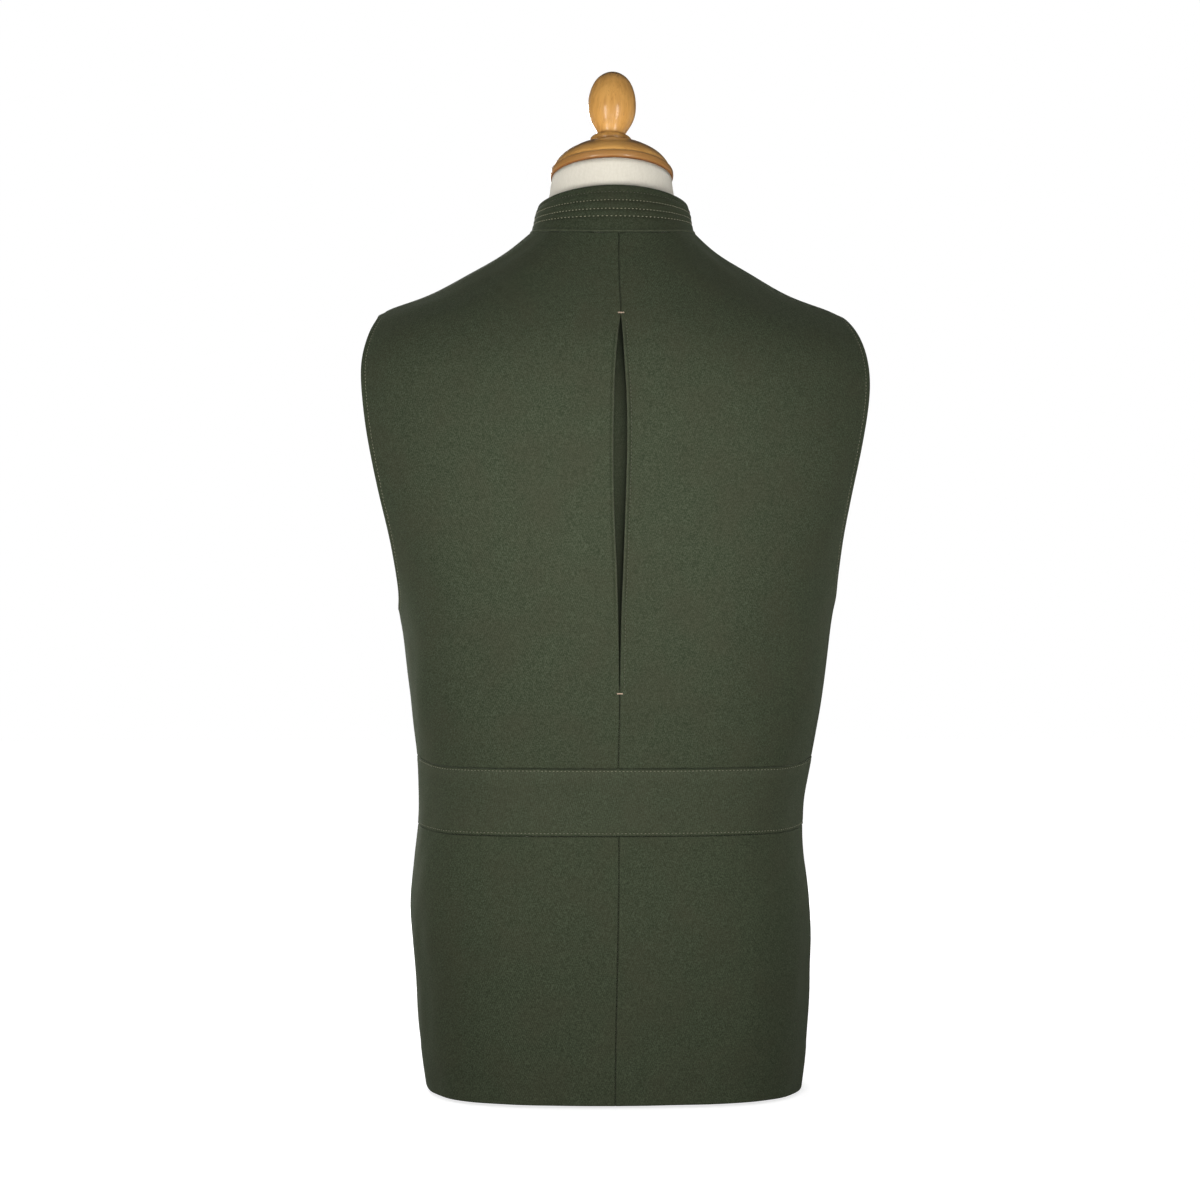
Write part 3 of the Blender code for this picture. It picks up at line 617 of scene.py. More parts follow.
def front_place(across, stage, side):
    outer_angle, outer_level = outer_edge(stage, ARMHOLE_FRONT_DEG)
    inner_level = np.interp(stage, STAGES, FRONT_STOPS)
    inner_angle = CLOTH.angle_of(-LAP, inner_level, near=180.0)
    angle = inner_angle + (outer_angle - inner_angle) * across
    return angle, inner_level + (outer_level - inner_level) * across**2


def collar_place(across, stage, side):
    angle, level = np.broadcast_arrays(179.4 * (2 * across - 1), stage)
    return angle, NECK_SEAM + (COLLAR_TOP - NECK_SEAM) * level


def underlay_place(across, stage, side):
    angle, level = np.broadcast_arrays(9 * (2 * across - 1), stage)
    level = 300 * MM + (632 - 300) * MM * level
    return angle + CLOTH.angle_of(CENTRE(level), level), level


# %% [markdown]
# ## From a flat grid to a shaped shell
#
# Every cut piece starts as a flat grid with a copy below it, so it is a closed shell from the start.
# Its rows and columns are spaced by real length: close together beside the edges, where seams and
# stitches need detail, and wide in the plain middle. Once each grid point knows how far it is from
# every edge, a seam is a formula. A drop within a millimetre of the edge rounds it, and a soft dent
# a few millimetres in is the pull of a row of stitches.

# %% Lengths and distances
NEAR_EDGE = np.array([0, 0.12, 0.35, 0.7, 1.1, 1.6, 2.2, 3.0, 3.8, 4.6, 5.4, 6.2, 7.2, 8.6, 10.5]) * MM
PARTING = 0.05 * MM  # half of the gap between two sewn pieces


def spread(length, steps):
    """Distances along a length: close together near both ends, and even between."""
    near = NEAR_EDGE * min(1, length / (2.5 * NEAR_EDGE[-1])) + PARTING
    middle = np.linspace(near[-1], length - near[-1], steps + 1)
    return np.concatenate([near[:-1], middle, length - near[-2::-1]])


def walk(points):
    """How far each point is along its row."""
    steps = np.linalg.norm(np.diff(points, axis=-2), axis=-1)
    return np.concatenate([np.zeros((*steps.shape[:-1], 1)), np.cumsum(steps, axis=-1)], axis=-1)


def reach(points, line):
    """The shortest distance from each point to a line of points."""
    flat = points.reshape(-1, 3)
    best = np.full(len(flat), np.inf)
    for start, side in zip(line[:-1], np.diff(line, axis=0)):
        share = np.clip(((flat - start) @ side) / max(side @ side, 1e-12), 0, 1)
        gap = flat - start - share[:, None] * side
        best = np.minimum(best, (gap**2).sum(-1))
    return np.sqrt(best).reshape(points.shape[:-1])


# %% Edges, dents and pads
def rounded(distance, radius, depth):
    """How far a rounded edge has dropped, at a distance from it."""
    share = np.clip(1 - distance / radius, 0, 0.95)
    return depth * (1 - np.sqrt(1 - share**2))


def dent(distance, centre, width, depth):
    """A soft groove that runs at one distance from an edge."""
    return -depth * np.exp(-(((distance - centre) / width) ** 2))


def pad(distance, width, height, soft=2.0 * MM):
    """The lift where a second layer lies under the cloth, out to a width."""
    return height * (1 - ease(distance, width - soft, width + soft))


def uneven(angle, level):
    """Hand-sewn unevenness about 1, so that no groove is the same all along."""
    wave = np.sin(angle * 1.9 + level * 410) + np.sin(angle * 0.8 - level * 660 + 1.3)
    return 1 + 0.22 * wave


SEAM = {"radius": 0.9 * MM, "depth": 0.75 * MM}
TURNED = {"radius": 1.1 * MM, "depth": 1.1 * MM}

# %% A cut piece
class Panel:
    """A cut piece of cloth on a skin.

    place(across, stage, side) gives angles and levels, with across from 0 to 1 and stage between
    two stops. edges names stretches of its four sides, each with a start and an end. relief, tone
    and over give the lift of its face, the painted light and shade along its edges and the lift of
    its whole wall.
    """

    def __init__(self, name, skin, place, stages, edges, relief, free=(), side=1, step=3 * MM, column=3 * MM):
        self.name, self.skin, self.side, self.relief = name, skin, side, relief
        self.step, self.column = step, min(step, column)
        self.cut, self.stages, self.edges, self.free = place, stages, edges, free
        self.tone, self.over = crease_tone, None
        self.lines = {label: self.inside(label, 0, 64) for label in edges}

    def place(self, across, stage):
        angle, level = self.cut(across, stage, self.side)
        return self.side * angle, level

    def rim(self, side, share, inset):
        """Places along a side. inset is a share of the piece, inwards."""
        low, high = self.stages
        if side in ("first", "last"):
            return self.place(inset if side == "first" else 1 - inset, share)
        inwards = inset * (high - low)
        return self.place(share, low + inwards if side == "low" else high - inwards)

    def inside(self, label, distance, count, trim=0.0):
        """Places along an edge, at a distance inside it."""
        side, start, end = self.edges[label]
        share = np.linspace(start + (end - start) * trim, end - (end - start) * trim, count)
        if not distance:
            return self.rim(side, share, np.zeros(count))
        insets = np.linspace(0, 0.12, 48)[:, None]
        angle, level = self.rim(side, share[None, :], insets)
        far = reach(self.skin.bare(angle, level), self.skin.bare(*self.lines[label]))
        fitted = np.array([np.interp(distance, far[:, i], insets[:, 0]) for i in range(count)])
        return self.rim(side, share, fitted)

    def distances(self, angle, level):
        points = self.skin.bare(angle, level)
        return {label: reach(points, self.skin.bare(*line)) for label, line in self.lines.items()}

    def lattice(self):
        """Angles and levels of the grid's points, spaced by length."""
        low, high = self.stages
        stages = np.linspace(low, high, 500)
        tall = walk(self.skin.bare(*self.place(0.5, stages)))
        heights = np.interp(spread(tall[-1], round(tall[-1] / self.step)), tall, stages)
        for corner in range(int(low) + 1, int(high)):
            heights[np.abs(heights - corner).argmin()] = corner
        shares = np.linspace(0, 1, 301)
        angle, level = self.place(shares[None, :], heights[:, None])
        wide = walk(self.skin.bare(angle, level))
        steps = round(wide[:, -1].max() / self.column)
        fitted = np.array([np.interp(spread(row[-1], steps), row, shares) for row in wide])
        return self.place(fitted, heights[:, None])


def crease_tone(panel, far, angle, level):
    """Dark beside every sewn edge, where the seam swallows light."""
    sewn = [far[label] for label in panel.edges if label not in panel.free]
    nearest = np.minimum.reduce(sewn) if sewn else np.full(angle.shape, 1.0)
    return -0.55 * np.exp(-((nearest / (0.55 * MM)) ** 2))


def lifted(panel, angle, level, far=None):
    """How far a panel's face stands out at some places, and how far its back lies in."""
    far = far or panel.distances(angle, level)
    face = panel.relief(far, angle, level)
    back = face * 0 - WALL
    for label in panel.free:
        face = face - rounded(far[label], **TURNED)
        back = back + 0.9 * rounded(far[label], **TURNED)
    lift = panel.over(angle, level) if panel.over else 0.0
    return face + lift, back + lift


# %% Build the shell of a panel
def link(name, mesh, material):
    for polygon in mesh.polygons:
        polygon.use_smooth = True
    mesh.materials.append(material)
    made = bpy.data.objects.new(name, mesh)
    bpy.context.scene.collection.objects.link(made)
    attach(made, "root")
    return made


def shell(panel):
    """The closed wall of a panel."""
    angle, level = panel.lattice()
    far = panel.distances(angle, level)
    tone = panel.tone(panel, far, angle, level)
    layers = [panel.skin.point(angle, level, out) for out in lifted(panel, angle, level, far)]
    rows, columns = angle.shape[0] - 1, angle.shape[1] - 1
    bm = bmesh.new()
    bmesh.ops.create_grid(bm, x_segments=columns, y_segments=rows, size=0.5)
    below = bmesh.ops.extrude_face_region(bm, geom=bm.faces[:], use_keep_orig=True)["geom"]
    below = [item for item in below if isinstance(item, bmesh.types.BMVert)]
    bmesh.ops.translate(bm, verts=below, vec=(0, 0, -1))
    across, up = walk(layers[0]), walk(layers[0].swapaxes(0, 1)).swapaxes(0, 1)
    uv = bm.loops.layers.uv.new("cloth")
    cells = {v: (round((v.co.y + 0.5) * rows), round((v.co.x + 0.5) * columns)) for v in bm.verts}
    shades = [tone[cell] for cell in cells.values()]
    for corner in [corner for quad in bm.faces for corner in quad.loops]:
        corner[uv].uv = across[cells[corner.vert]], up[cells[corner.vert]]
    for vert, cell in cells.items():
        vert.co = layers[round(-vert.co.z)][cell]
    bmesh.ops.recalc_face_normals(bm, faces=bm.faces[:])
    if bm.calc_volume(signed=True) < 0:
        bmesh.ops.reverse_faces(bm, faces=bm.faces[:])
    mesh = bpy.data.meshes.new(f"{panel.name}_cloth")
    bm.to_mesh(mesh)
    bm.free()
    mesh.attributes.new("tone", "FLOAT", "POINT").data.foreach_set("value", shades)
    made = link(f"{panel.name}_cloth", mesh, GREEN_WOOL)
    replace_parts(made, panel.name)
    panel.size = across.max(), up[-1].mean()
    panel.area = sum(p.area for p in mesh.polygons) / 2
    print(f"{panel.name}: {panel.size[0]:.3f} x {panel.size[1]:.3f} m, {len(mesh.polygons)} faces")
    return made


# %% [markdown]
# ## Rows of stitching
#
# A lockstitch shows as short bars of thread, each sunk a little where the needle goes through. At
# this scale a bar is an icosphere stretched along the row, so one stitch costs twenty faces, and a
# few thousand of them stay cheap. They follow a path on the cloth and stand up along its normal.

# %% Stitches
STITCH_PITCH = 2.8 * MM
STITCH_LENGTH = 2.0 * MM
STITCH_WIDTH = 0.55 * MM


def sew(name, paths, material, pitch=STITCH_PITCH, length=STITCH_LENGTH, width=STITCH_WIDTH, bar=False):
    """A stretched bead for each stitch of several paths. A bar tack's beads lie across its path."""
    bm = bmesh.new()
    for points, normals in paths:
        along = walk(points)
        for middle in np.arange(pitch / 2, along[-1] - pitch / 2, pitch):
            tail, here, head = (
                Vector([np.interp(middle + way, along, points[:, axis]) for axis in range(3)])
                for way in (-pitch / 2, 0, pitch / 2)
            )
            up = Vector([np.interp(middle, along, normals[:, axis]) for axis in range(3)])
            forward = (head - tail).normalized()
            forward = up.cross(forward).normalized() if bar else forward
            side = up.cross(forward).normalized()
            up = forward.cross(side)
            turn = Matrix((forward, side, up)).transposed().to_4x4()
            size = Matrix.Diagonal((length / 2, width / 2, width / 2, 1))
            bmesh.ops.create_icosphere(
                bm, subdivisions=1, radius=1, matrix=Matrix.Translation(here) @ turn @ size
            )
    mesh = bpy.data.meshes.new(name)
    bm.to_mesh(mesh)
    bm.free()
    print(name, "has", len(mesh.vertices) // 12, "stitches")
    return link(name, mesh, material)


def along(panel, angle, level, raised=0.0):
    """Points and normals on a panel's face at some places."""
    face, _ = lifted(panel, angle, level)
    return panel.skin.point(angle, level, face + raised), panel.skin.normal(angle, level)


def row(panel, label, distance, trim=0.0, count=150):
    """A stitch path inside an edge of a panel."""
    return along(panel, *panel.inside(label, distance, count, trim), raised=0.06 * MM)


# %% [markdown]
# ## The upper backs
#
# Two panels run from the belt to the shoulders. A centre back seam joins them at the top and the
# bottom, and between its two bar tacks an inverted pleat springs open. The fold edges of a pleat are
# thicker than the cloth beside them, because the cloth turns back on itself. The armholes are
# topstitched 5 mm in, which leaves a soft roll outside the row.

# %% Upper backs
TOPSTITCH = 5.4 * MM
ALLOWANCE = 10 * MM
PLEAT_STAGES = np.interp([PLEAT_LOW, PLEAT_HIGH], BACK_STOPS, STAGES)
low_tack, high_tack = PLEAT_STAGES

BACK_UPPER_EDGES = {
    "belt": ("low", 0, 1),
    "neck": ("high", 0, 1),
    "lower_seam": ("first", 0, low_tack),
    "pleat": ("first", low_tack, high_tack),
    "upper_seam": ("first", high_tack, 3),
    "side": ("last", 0, 1),
    "armhole": ("last", 1, 2),
    "shoulder": ("last", 2, 3),
}


FOLD_LINE = 2.3 * MM  # how far inside the pleat's edge the folded cloth is stitched


def back_upper_relief(far, angle, level):
    loose = uneven(angle, level)
    height = pad(far["side"], ALLOWANCE, 0.25 * MM) + pad(far["shoulder"], 5 * MM, 0.3 * MM)
    height = height + pad(far["pleat"], 9 * MM, 0.45 * MM, soft=5 * MM)
    height = height + pad(far["lower_seam"], 4.5 * MM, 0.2 * MM) + pad(far["upper_seam"], 4.5 * MM, 0.2 * MM)
    height = height + dent(far["armhole"], TOPSTITCH, 1.3 * MM, 0.3 * MM) * loose
    height = height + dent(far["pleat"], FOLD_LINE, 0.8 * MM, 0.28 * MM) * loose
    height = height - rounded(far["pleat"], 1.0 * MM, 0.9 * MM)
    height = height - rounded(far["belt"], 1.8 * MM, 1.2 * MM)
    for label in ("neck", "lower_seam", "upper_seam", "side", "shoulder"):
        height = height - rounded(far[label], **SEAM)
    return height


def back_upper_painted_light(panel, far, angle, level):
    """Painted shade beside the sewn edges, and a painted highlight along the pleat's fold edges and
    the shoulder seam. Painted shade also lies in the groove of the pleat's row of stitches.
    """
    far = dict(far)
    pleat = far.pop("pleat")
    sewn = np.minimum.reduce([far[label] for label in ("belt", "neck", "lower_seam", "upper_seam", "side")])
    tone = -0.55 * np.exp(-((sewn / (0.55 * MM)) ** 2))
    opened = ease(pleat_half_width(level), 0.6 * MM, 2.0 * MM)
    # Painted highlight along each fold edge, then painted shade in its stitched groove.
    tone = tone + 0.20 * opened * np.exp(-(((pleat - 0.7 * MM) / (0.8 * MM)) ** 2))
    tone = tone - 0.36 * opened * np.exp(-(((pleat - FOLD_LINE) / (0.8 * MM)) ** 2))
    return tone + 0.25 * np.exp(-(((far["shoulder"] - 0.9 * MM) / (0.5 * MM)) ** 2))


def tip_drop(angle, level):
    """The end of the shoulder is pressed round, so its corner lies a little lower."""
    tip = CLOTH.bare(np.sign(angle) * SHOULDER_SEAM_DEG, SHOULDER_POINT)
    away = np.linalg.norm(CLOTH.bare(angle, level) - tip, axis=-1)
    return -2.2 * MM * np.exp(-((away / (7 * MM)) ** 2))


def declare(panel, made, hem=0.0, turnings=ALLOWANCE):
    """Says what a piece was cut to: its own size with its turnings and its hem added."""
    width, height = panel.size[0] + 2 * turnings, panel.size[1] + turnings + max(hem, turnings)
    border = 2 * turnings * (panel.size[0] + panel.size[1]) + hem * panel.size[0]
    area = min(panel.area + border, 0.99 * width * height)
    print(f"{panel.name} is cut {width:.3f} x {height:.3f} m, {area:.4f} square metres")


SIDES = (("left", 1), ("right", -1))

for name, side in SIDES:
    panel = Panel(
        f"back_upper_{name}", CLOTH, back_upper_place, (0, 3), BACK_UPPER_EDGES, back_upper_relief,
        free=("armhole",), side=side,
    )
    panel.tone, panel.over = back_upper_painted_light, tip_drop
    made = shell(panel)
    paths = [row(panel, "armhole", TOPSTITCH, trim=0.01)]
    stitches = [sew(f"armhole_stitches_back_{name}", paths, GREEN_THREAD)]
    if side < 0:
        stitches.append(sew("pleat_stitches", [row(panel, "pleat", 3.4 * MM, trim=0.02)], DULL_THREAD))
    declare(panel, made)

# %% [markdown]
# ## The pleat's underlay and its bar tacks
#
# Behind the open pleat lies the cloth that it opens into. It falls away behind the wearer's right
# edge, which shades it, and painted shade darkens it further towards that edge, for the dark line
# that shows the pleat's depth. A bar tack closes each end: a few millimetres of thread bars side by
# side, over the seam.

# %% Underlay and bar tacks
def pleat_share(angle, level):
    """0 at the pleat's left edge and 1 at its right edge, as the wearer has them."""
    half = np.maximum(pleat_half_width(level), 0.3 * MM)
    across = CLOTH.bare(angle, level)[..., 0] - CLOTH.bare(0.0, level)[..., 0] - CENTRE(level)
    return np.clip((half - across) / (2 * half), 0, 1), half / (PLEAT_OPENING / 2)


def underlay_relief(far, angle, level):
    share, opened = pleat_share(angle, level)
    return -WALL - 0.4 * MM - (2.6 * MM * share + 1.4 * MM * ease(share, 0.75, 1)) * opened


# Painted shade over the pleat's underlay, darker where the pleat is narrow and towards its right edge.
def underlay_painted_shade(panel, far, angle, level):
    share, opened = pleat_share(angle, level)
    return -np.minimum(0.53 + 0.45 * (1 - opened) + 0.40 * share ** (1 + 2 * opened), 1)


underlay = Panel(
    "pleat_underlay", CLOTH, underlay_place, (0, 1), {"top": ("high", 0, 1)}, underlay_relief, column=0.6 * MM
)
underlay.tone = underlay_painted_shade
made = shell(underlay)
declare(underlay, made)

for label, level, half_width in (("upper", PLEAT_HIGH, 2.6 * MM), ("lower", PLEAT_LOW, 2.4 * MM)):
    angles = CLOTH.angle_of(CENTRE(level) + np.linspace(-half_width, half_width, 12), level)
    level = np.full(12, level)
    path = CLOTH.point(angles, level, 0.75 * MM), CLOTH.normal(angles, level)
    sew(f"bar_tack_{label}", [path], PALE_THREAD, pitch=0.55 * MM, length=1.4 * MM, width=0.75 * MM, bar=True)

# %% [markdown]
# ## The half belt
#
# One strip crosses the back from side seam to side seam. It is set in, not laid on: the upper backs
# end above it and the skirts start below it. It stands a little proud, because the seam allowances
# above and below are pressed into it, and both of its edges are topstitched.

# %% Half belt
BELT_STITCHES = {"top": 1.6 * MM, "bottom": 2.2 * MM}
BELT_EDGES = {
    "top": ("high", 0, 1),
    "bottom": ("low", 0, 1),
    "left": ("last", -1, 0),
    "right": ("first", -1, 0),
}


def belt_relief(far, angle, level):
    loose = uneven(angle, level)
    height = 0.45 * MM + 0.12 * MM * np.sin(level * 120 + angle * 0.05)
    for label in ("top", "bottom"):
        height = height + dent(far[label], BELT_STITCHES[label], 0.8 * MM, 0.25 * MM) * loose
        height = height - rounded(far[label], radius=0.9 * MM, depth=0.9 * MM)
    for label in ("left", "right"):
        height = height + pad(far[label], ALLOWANCE, 0.2 * MM) - rounded(far[label], **SEAM)
    return height


def belt_painted_light(panel, far, angle, level):
    """The belt stands proud, and painted light makes its face a little paler, most of all near its
    top. Painted shade lies beside its seams.
    """
    return crease_tone(panel, far, angle, level) + 0.06 + 0.07 * (1 - ease(far["top"], 5 * MM, 11 * MM))


belt = Panel("back_belt", CLOTH, back_belt_place, (-1, 0), BELT_EDGES, belt_relief, step=2.5 * MM)
belt.tone = belt_painted_light
made = shell(belt)
paths = [row(belt, label, inset, trim=0.07, count=300) for label, inset in BELT_STITCHES.items()]
stitches = sew("belt_stitches", paths, GREEN_THREAD, pitch=3.0 * MM, length=1.7 * MM)
declare(belt, made)

# %% [markdown]
# ## The skirts
#
# Below the belt each side is one panel, with the centre back seam between them. The seam is pressed
# open, so its allowances print through as two faint ridges. The hem is turned up 35 mm and sewn from
# behind, which leaves a faint step that is easy to miss and that the eye still expects.

# %% Skirts
TURN_UP = 35 * MM
SKIRT_EDGES = {
    "hem": ("low", 0, 1),
    "belt": ("high", 0, 1),
    "centre": ("first", -2, -1),
    "side": ("last", -2, -1),
}


def skirt_relief(far, angle, level):
    height = pad(far["hem"], TURN_UP, 0.35 * MM, soft=1.6 * MM)
    height = height + pad(far["side"], ALLOWANCE, 0.25 * MM) + pad(far["centre"], 4.5 * MM, 0.22 * MM)
    height = height - rounded(far["belt"], radius=1.8 * MM, depth=1.2 * MM)
    for label in ("centre", "side"):
        height = height - rounded(far[label], **SEAM)
    return height


for name, side in SIDES:
    panel = Panel(
        f"back_skirt_{name}", CLOTH, back_skirt_place, (-2, -1), SKIRT_EDGES, skirt_relief,
        free=("hem",), side=side,
    )
    declare(panel, shell(panel), hem=TURN_UP)

# %% [markdown]
# ## The fronts
#
# Each front is one long panel from the hem to the shoulder. The left front laps over the right, so
# it climbs onto it in a short step beside the centre. Both free edges and both armholes are rolled
# and topstitched. A buttonhole is worked across the left front at each button: two rows of bars with
# the slit between them, and one thick bar at its inner end.

# %% Fronts
LAP_STITCH = 6 * MM
BUTTON_COUNT, BUTTON_TOP, BUTTON_BOTTOM = 6, 578 * MM, 118 * MM
HOLE_START, HOLE_END = -3 * MM, 20 * MM  # from the button's middle to the wearer's left
FRONT_EDGES = {
    "lap": ("first", -2, 3),
    "hem": ("low", 0, 1),
    "neck": ("high", 0, 1),
    "side": ("last", -2, 1),
    "armhole": ("last", 1, 2),
    "shoulder": ("last", 2, 3),
}


def front_relief(far, angle, level):
    loose = uneven(angle, level)
    height = pad(far["hem"], TURN_UP, 0.35 * MM, soft=1.6 * MM) + pad(far["side"], ALLOWANCE, 0.25 * MM)
    height = height + dent(far["armhole"], TOPSTITCH, 1.3 * MM, 0.3 * MM) * loose
    height = height + dent(far["lap"], LAP_STITCH, 1.3 * MM, 0.3 * MM) * loose
    for label in ("neck", "side", "shoulder"):
        height = height - rounded(far[label], **SEAM)
    return height


def lap_lift(angle, level):
    """The left front lies over the right one where they cross."""
    across = CLOTH.bare(angle, level)[..., 0] - CLOTH.bare(180.0, level)[..., 0]
    return LAP_STEP * ease(across, 44 * MM, 26 * MM) + tip_drop(angle, level)


def button_level(number):
    """The level at the centre front of a button, counted from the top."""
    height = BUTTON_TOP + (BUTTON_BOTTOM - BUTTON_TOP) * (number - 1) / (BUTTON_COUNT - 1)
    levels = np.linspace(HEM, NECK_SEAM, 800)
    return np.interp(height, CLOTH.point(180.0, levels)[:, 2], levels)


def buttonhole(panel, number):
    """The worked bars of one buttonhole."""
    level = button_level(number)
    across = np.linspace(HOLE_START, HOLE_END, 24)
    angles = CLOTH.angle_of(across, level, near=180.0)
    rows = [along(panel, angles, np.full(24, level + rise), 0.05 * MM) for rise in (-0.95 * MM, 0.95 * MM)]
    bars = sew(f"buttonhole_{number}", rows, GREEN_THREAD, 0.62 * MM, 1.7 * MM, 0.6 * MM, bar=True)
    end_levels = level + np.linspace(-2.4, 2.4, 8) * MM
    end = along(panel, np.full(8, angles[-1]), end_levels, 0.1 * MM)
    return [bars, sew(f"buttonhole_end_{number}", [end], GREEN_THREAD, 0.5 * MM, 1.3 * MM, 0.6 * MM, bar=True)]


for name, side in SIDES:
    panel = Panel(
        f"front_{name}", CLOTH, front_place, (-2, 3), FRONT_EDGES, front_relief,
        free=("lap", "hem", "armhole"), side=side,
    )
    panel.over = lap_lift if side > 0 else tip_drop
    made = shell(panel)
    paths = [row(panel, "armhole", TOPSTITCH, trim=0.01), row(panel, "lap", LAP_STITCH, 0.004, 400)]
    stitches = [sew(f"front_stitches_{name}", paths, GREEN_THREAD)]
    if side > 0:
        for number in range(1, BUTTON_COUNT + 1):
            stitches += buttonhole(panel, number)
    declare(panel, made, hem=TURN_UP)

# %% [markdown]
# ## The stand collar
#
# A stand collar keeps its shape through rows of stitching, sewn through all of its layers. Between
# two rows the layers swell, so it looks softly ribbed. Its lower edge sits in the neck seam.

# %% Collar
COLLAR_ROWS = [0.153, 0.326, 0.507, 0.665]  # shares of the collar's height, from its top
COLLAR_PITCHES = [2.9 * MM, 2.9 * MM, 3.1 * MM, 3.6 * MM]
COLLAR_EDGES = {
    "neck": ("low", 0, 1),
    "top": ("high", 0, 1),
    "right_end": ("first", 0, 1),
    "left_end": ("last", 0, 1),
}
ROW_LEVELS = [COLLAR_TOP - share * (COLLAR_TOP - NECK_SEAM) for share in COLLAR_ROWS]


def collar_relief(far, angle, level):
    loose = uneven(angle, level)
    height = 0.2 * MM + 0 * level
    for row_level in ROW_LEVELS:
        height = height + dent(level, row_level, 1.5 * MM, 0.6 * MM) * loose
    height = height + dent(far["neck"], 3.4 * MM, 1.5 * MM, 0.25 * MM) * loose
    height = height + dent(far["neck"], 0.9 * MM, 0.8 * MM, -0.5 * MM) * loose
    return height - rounded(far["neck"], radius=0.8 * MM, depth=0.8 * MM)


def collar_painted_light(panel, far, angle, level):
    """The collar is darkened with painted shade towards the neck seam, and below each row of
    stitches. A painted highlight runs along its lower edge, where it folds into the seam."""
    tone = 0.44 * np.exp(-(((far["neck"] - 0.8 * MM) / (0.7 * MM)) ** 2)) * uneven(angle, level)
    tone = tone - 0.06 - 0.12 * (1 - ease(far["neck"], 0, 22 * MM))
    for row_level in ROW_LEVELS[1:]:
        tone = tone - 0.22 * np.exp(-(((level - row_level + 0.8 * MM) / (0.8 * MM)) ** 2))
    return tone


collar = Panel(
    "collar", COLLAR, collar_place, (0, 1), COLLAR_EDGES, collar_relief,
    free=("top", "right_end", "left_end"), step=2 * MM,
)
collar.tone = collar_painted_light
made = shell(collar)
turns = np.linspace(-176, 176, 420)
stitches = []
for number, (row_level, pitch) in enumerate(zip(ROW_LEVELS, COLLAR_PITCHES)):
    material = COLLAR_THREAD if number else DULL_THREAD
    path = along(collar, turns, np.full(420, row_level), raised=0.12 * MM)
    stitches.append(sew(f"collar_row_{number}", [path], material, pitch, 0.5 * pitch, 0.6 * MM))
declare(collar, made, turnings=5 * MM)

# %% [markdown]
# ## Turned pieces
#
# A lathe makes a shape by spinning one profile, and so does bmesh.ops.spin. The profile of the cap
# and of the egg-shaped finial is a few smooth runs that meet at the rim's sharp edges, so each run
# is refined on its own and the edges stay crisp.

# %% Spin a profile
def refined(run, count):
    """A smooth curve through a run of radii and heights in millimetres."""
    places = np.array(run, float)
    reached = np.concatenate([[0], np.cumsum(np.linalg.norm(np.diff(places, axis=0), axis=1))])
    at = np.linspace(0, reached[-1], count)
    return np.stack([Spline(reached, places[:, axis])(at) for axis in (0, 1)], axis=1)


def spun(name, runs, sides, place, material):
    """A solid of revolution. place is the matrix that sets it in the frame."""
    profile = np.concatenate([run if len(run) == 2 else refined(run, 8 * len(run)) for run in runs])
    bm = bmesh.new()
    verts = [bm.verts.new((radius * MM, 0, height * MM)) for radius, height in profile]
    edges = [bm.edges.new(pair) for pair in zip(verts, verts[1:])]
    bmesh.ops.spin(
        bm, geom=verts + edges, cent=(0, 0, 0), axis=(0, 0, 1), angle=math.tau, steps=sides, use_merge=True
    )
    bmesh.ops.remove_doubles(bm, verts=bm.verts[:], dist=0.01 * MM)
    bmesh.ops.recalc_face_normals(bm, faces=bm.faces[:])
    bmesh.ops.transform(bm, matrix=place, verts=bm.verts[:])
    mesh = bpy.data.meshes.new(name)
    bm.to_mesh(mesh)
    bm.free()
    made = link(name, mesh, material)
    mesh.set_sharp_from_angle(angle=math.radians(40))
    print(name, "has", len(mesh.polygons), "faces")
    return made


# %% Neck cap and finial
CAP_RUNS = [
    [(0, 0.3), (48.6, 0.3)],
    [(48.6, 0.3), (49.5, 0.8), (50.0, 2.2), (50.05, 4.6), (49.6, 6.0), (48.8, 6.7)],
    [(48.8, 6.7), (48.1, 6.75), (47.7, 7.1)],
    [(47.7, 7.1), (47.3, 8.8), (45.6, 12.2), (42.4, 16.2), (38.6, 19.4), (34.6, 22.1), (30.2, 24.6),
     (25.4, 26.7), (20.6, 28.3), (16.0, 29.3)],
    [(16.0, 29.3), (0, 29.3)],
]
FINIAL_RUNS = [
    [(0, 29.6), (15.4, 29.6)],
    [(15.4, 29.6), (16.9, 30.6), (17.4, 32.6), (16.8, 34.6), (15.0, 36.0), (12.4, 36.6)],
    [(12.4, 36.6), (11.4, 37.4), (11.2, 38.8), (11.9, 41.0), (15.8, 48.0), (18.8, 55.8), (19.6, 63.8),
     (18.8, 72.6), (16.4, 80.8), (13.2, 86.4), (9.0, 90.3), (5.2, 92.3), (0, 93.0)],
]
FINIAL_LEAN = Matrix.Translation((0, 0, 40 * MM)) @ Matrix.Rotation(math.radians(-2), 4, "Y")
FINIAL_PLACE = CAP_PLACE @ FINIAL_LEAN @ Matrix.Translation((0, 0, -40 * MM))
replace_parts(spun("cap", CAP_RUNS, 128, CAP_PLACE, CAP_BEECH), "form_cap")
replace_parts(spun("finial", FINIAL_RUNS, 96, FINIAL_PLACE, FINIAL_BEECH), "form_finial")

# %% [markdown]
# ## The form's linen body
#
# The form is covered in linen and has no limbs. Its neck shows above the collar and its base below
# the hem. A sphere's circles of latitude and longitude are just what a ring table needs, so the body
# starts as a sphere, and each of its points moves to its angle and level on the form.

# %% Form body
NECK_TOP = 744.4 * MM
FORM_SIDES, FORM_RINGS_UP = 128, 180


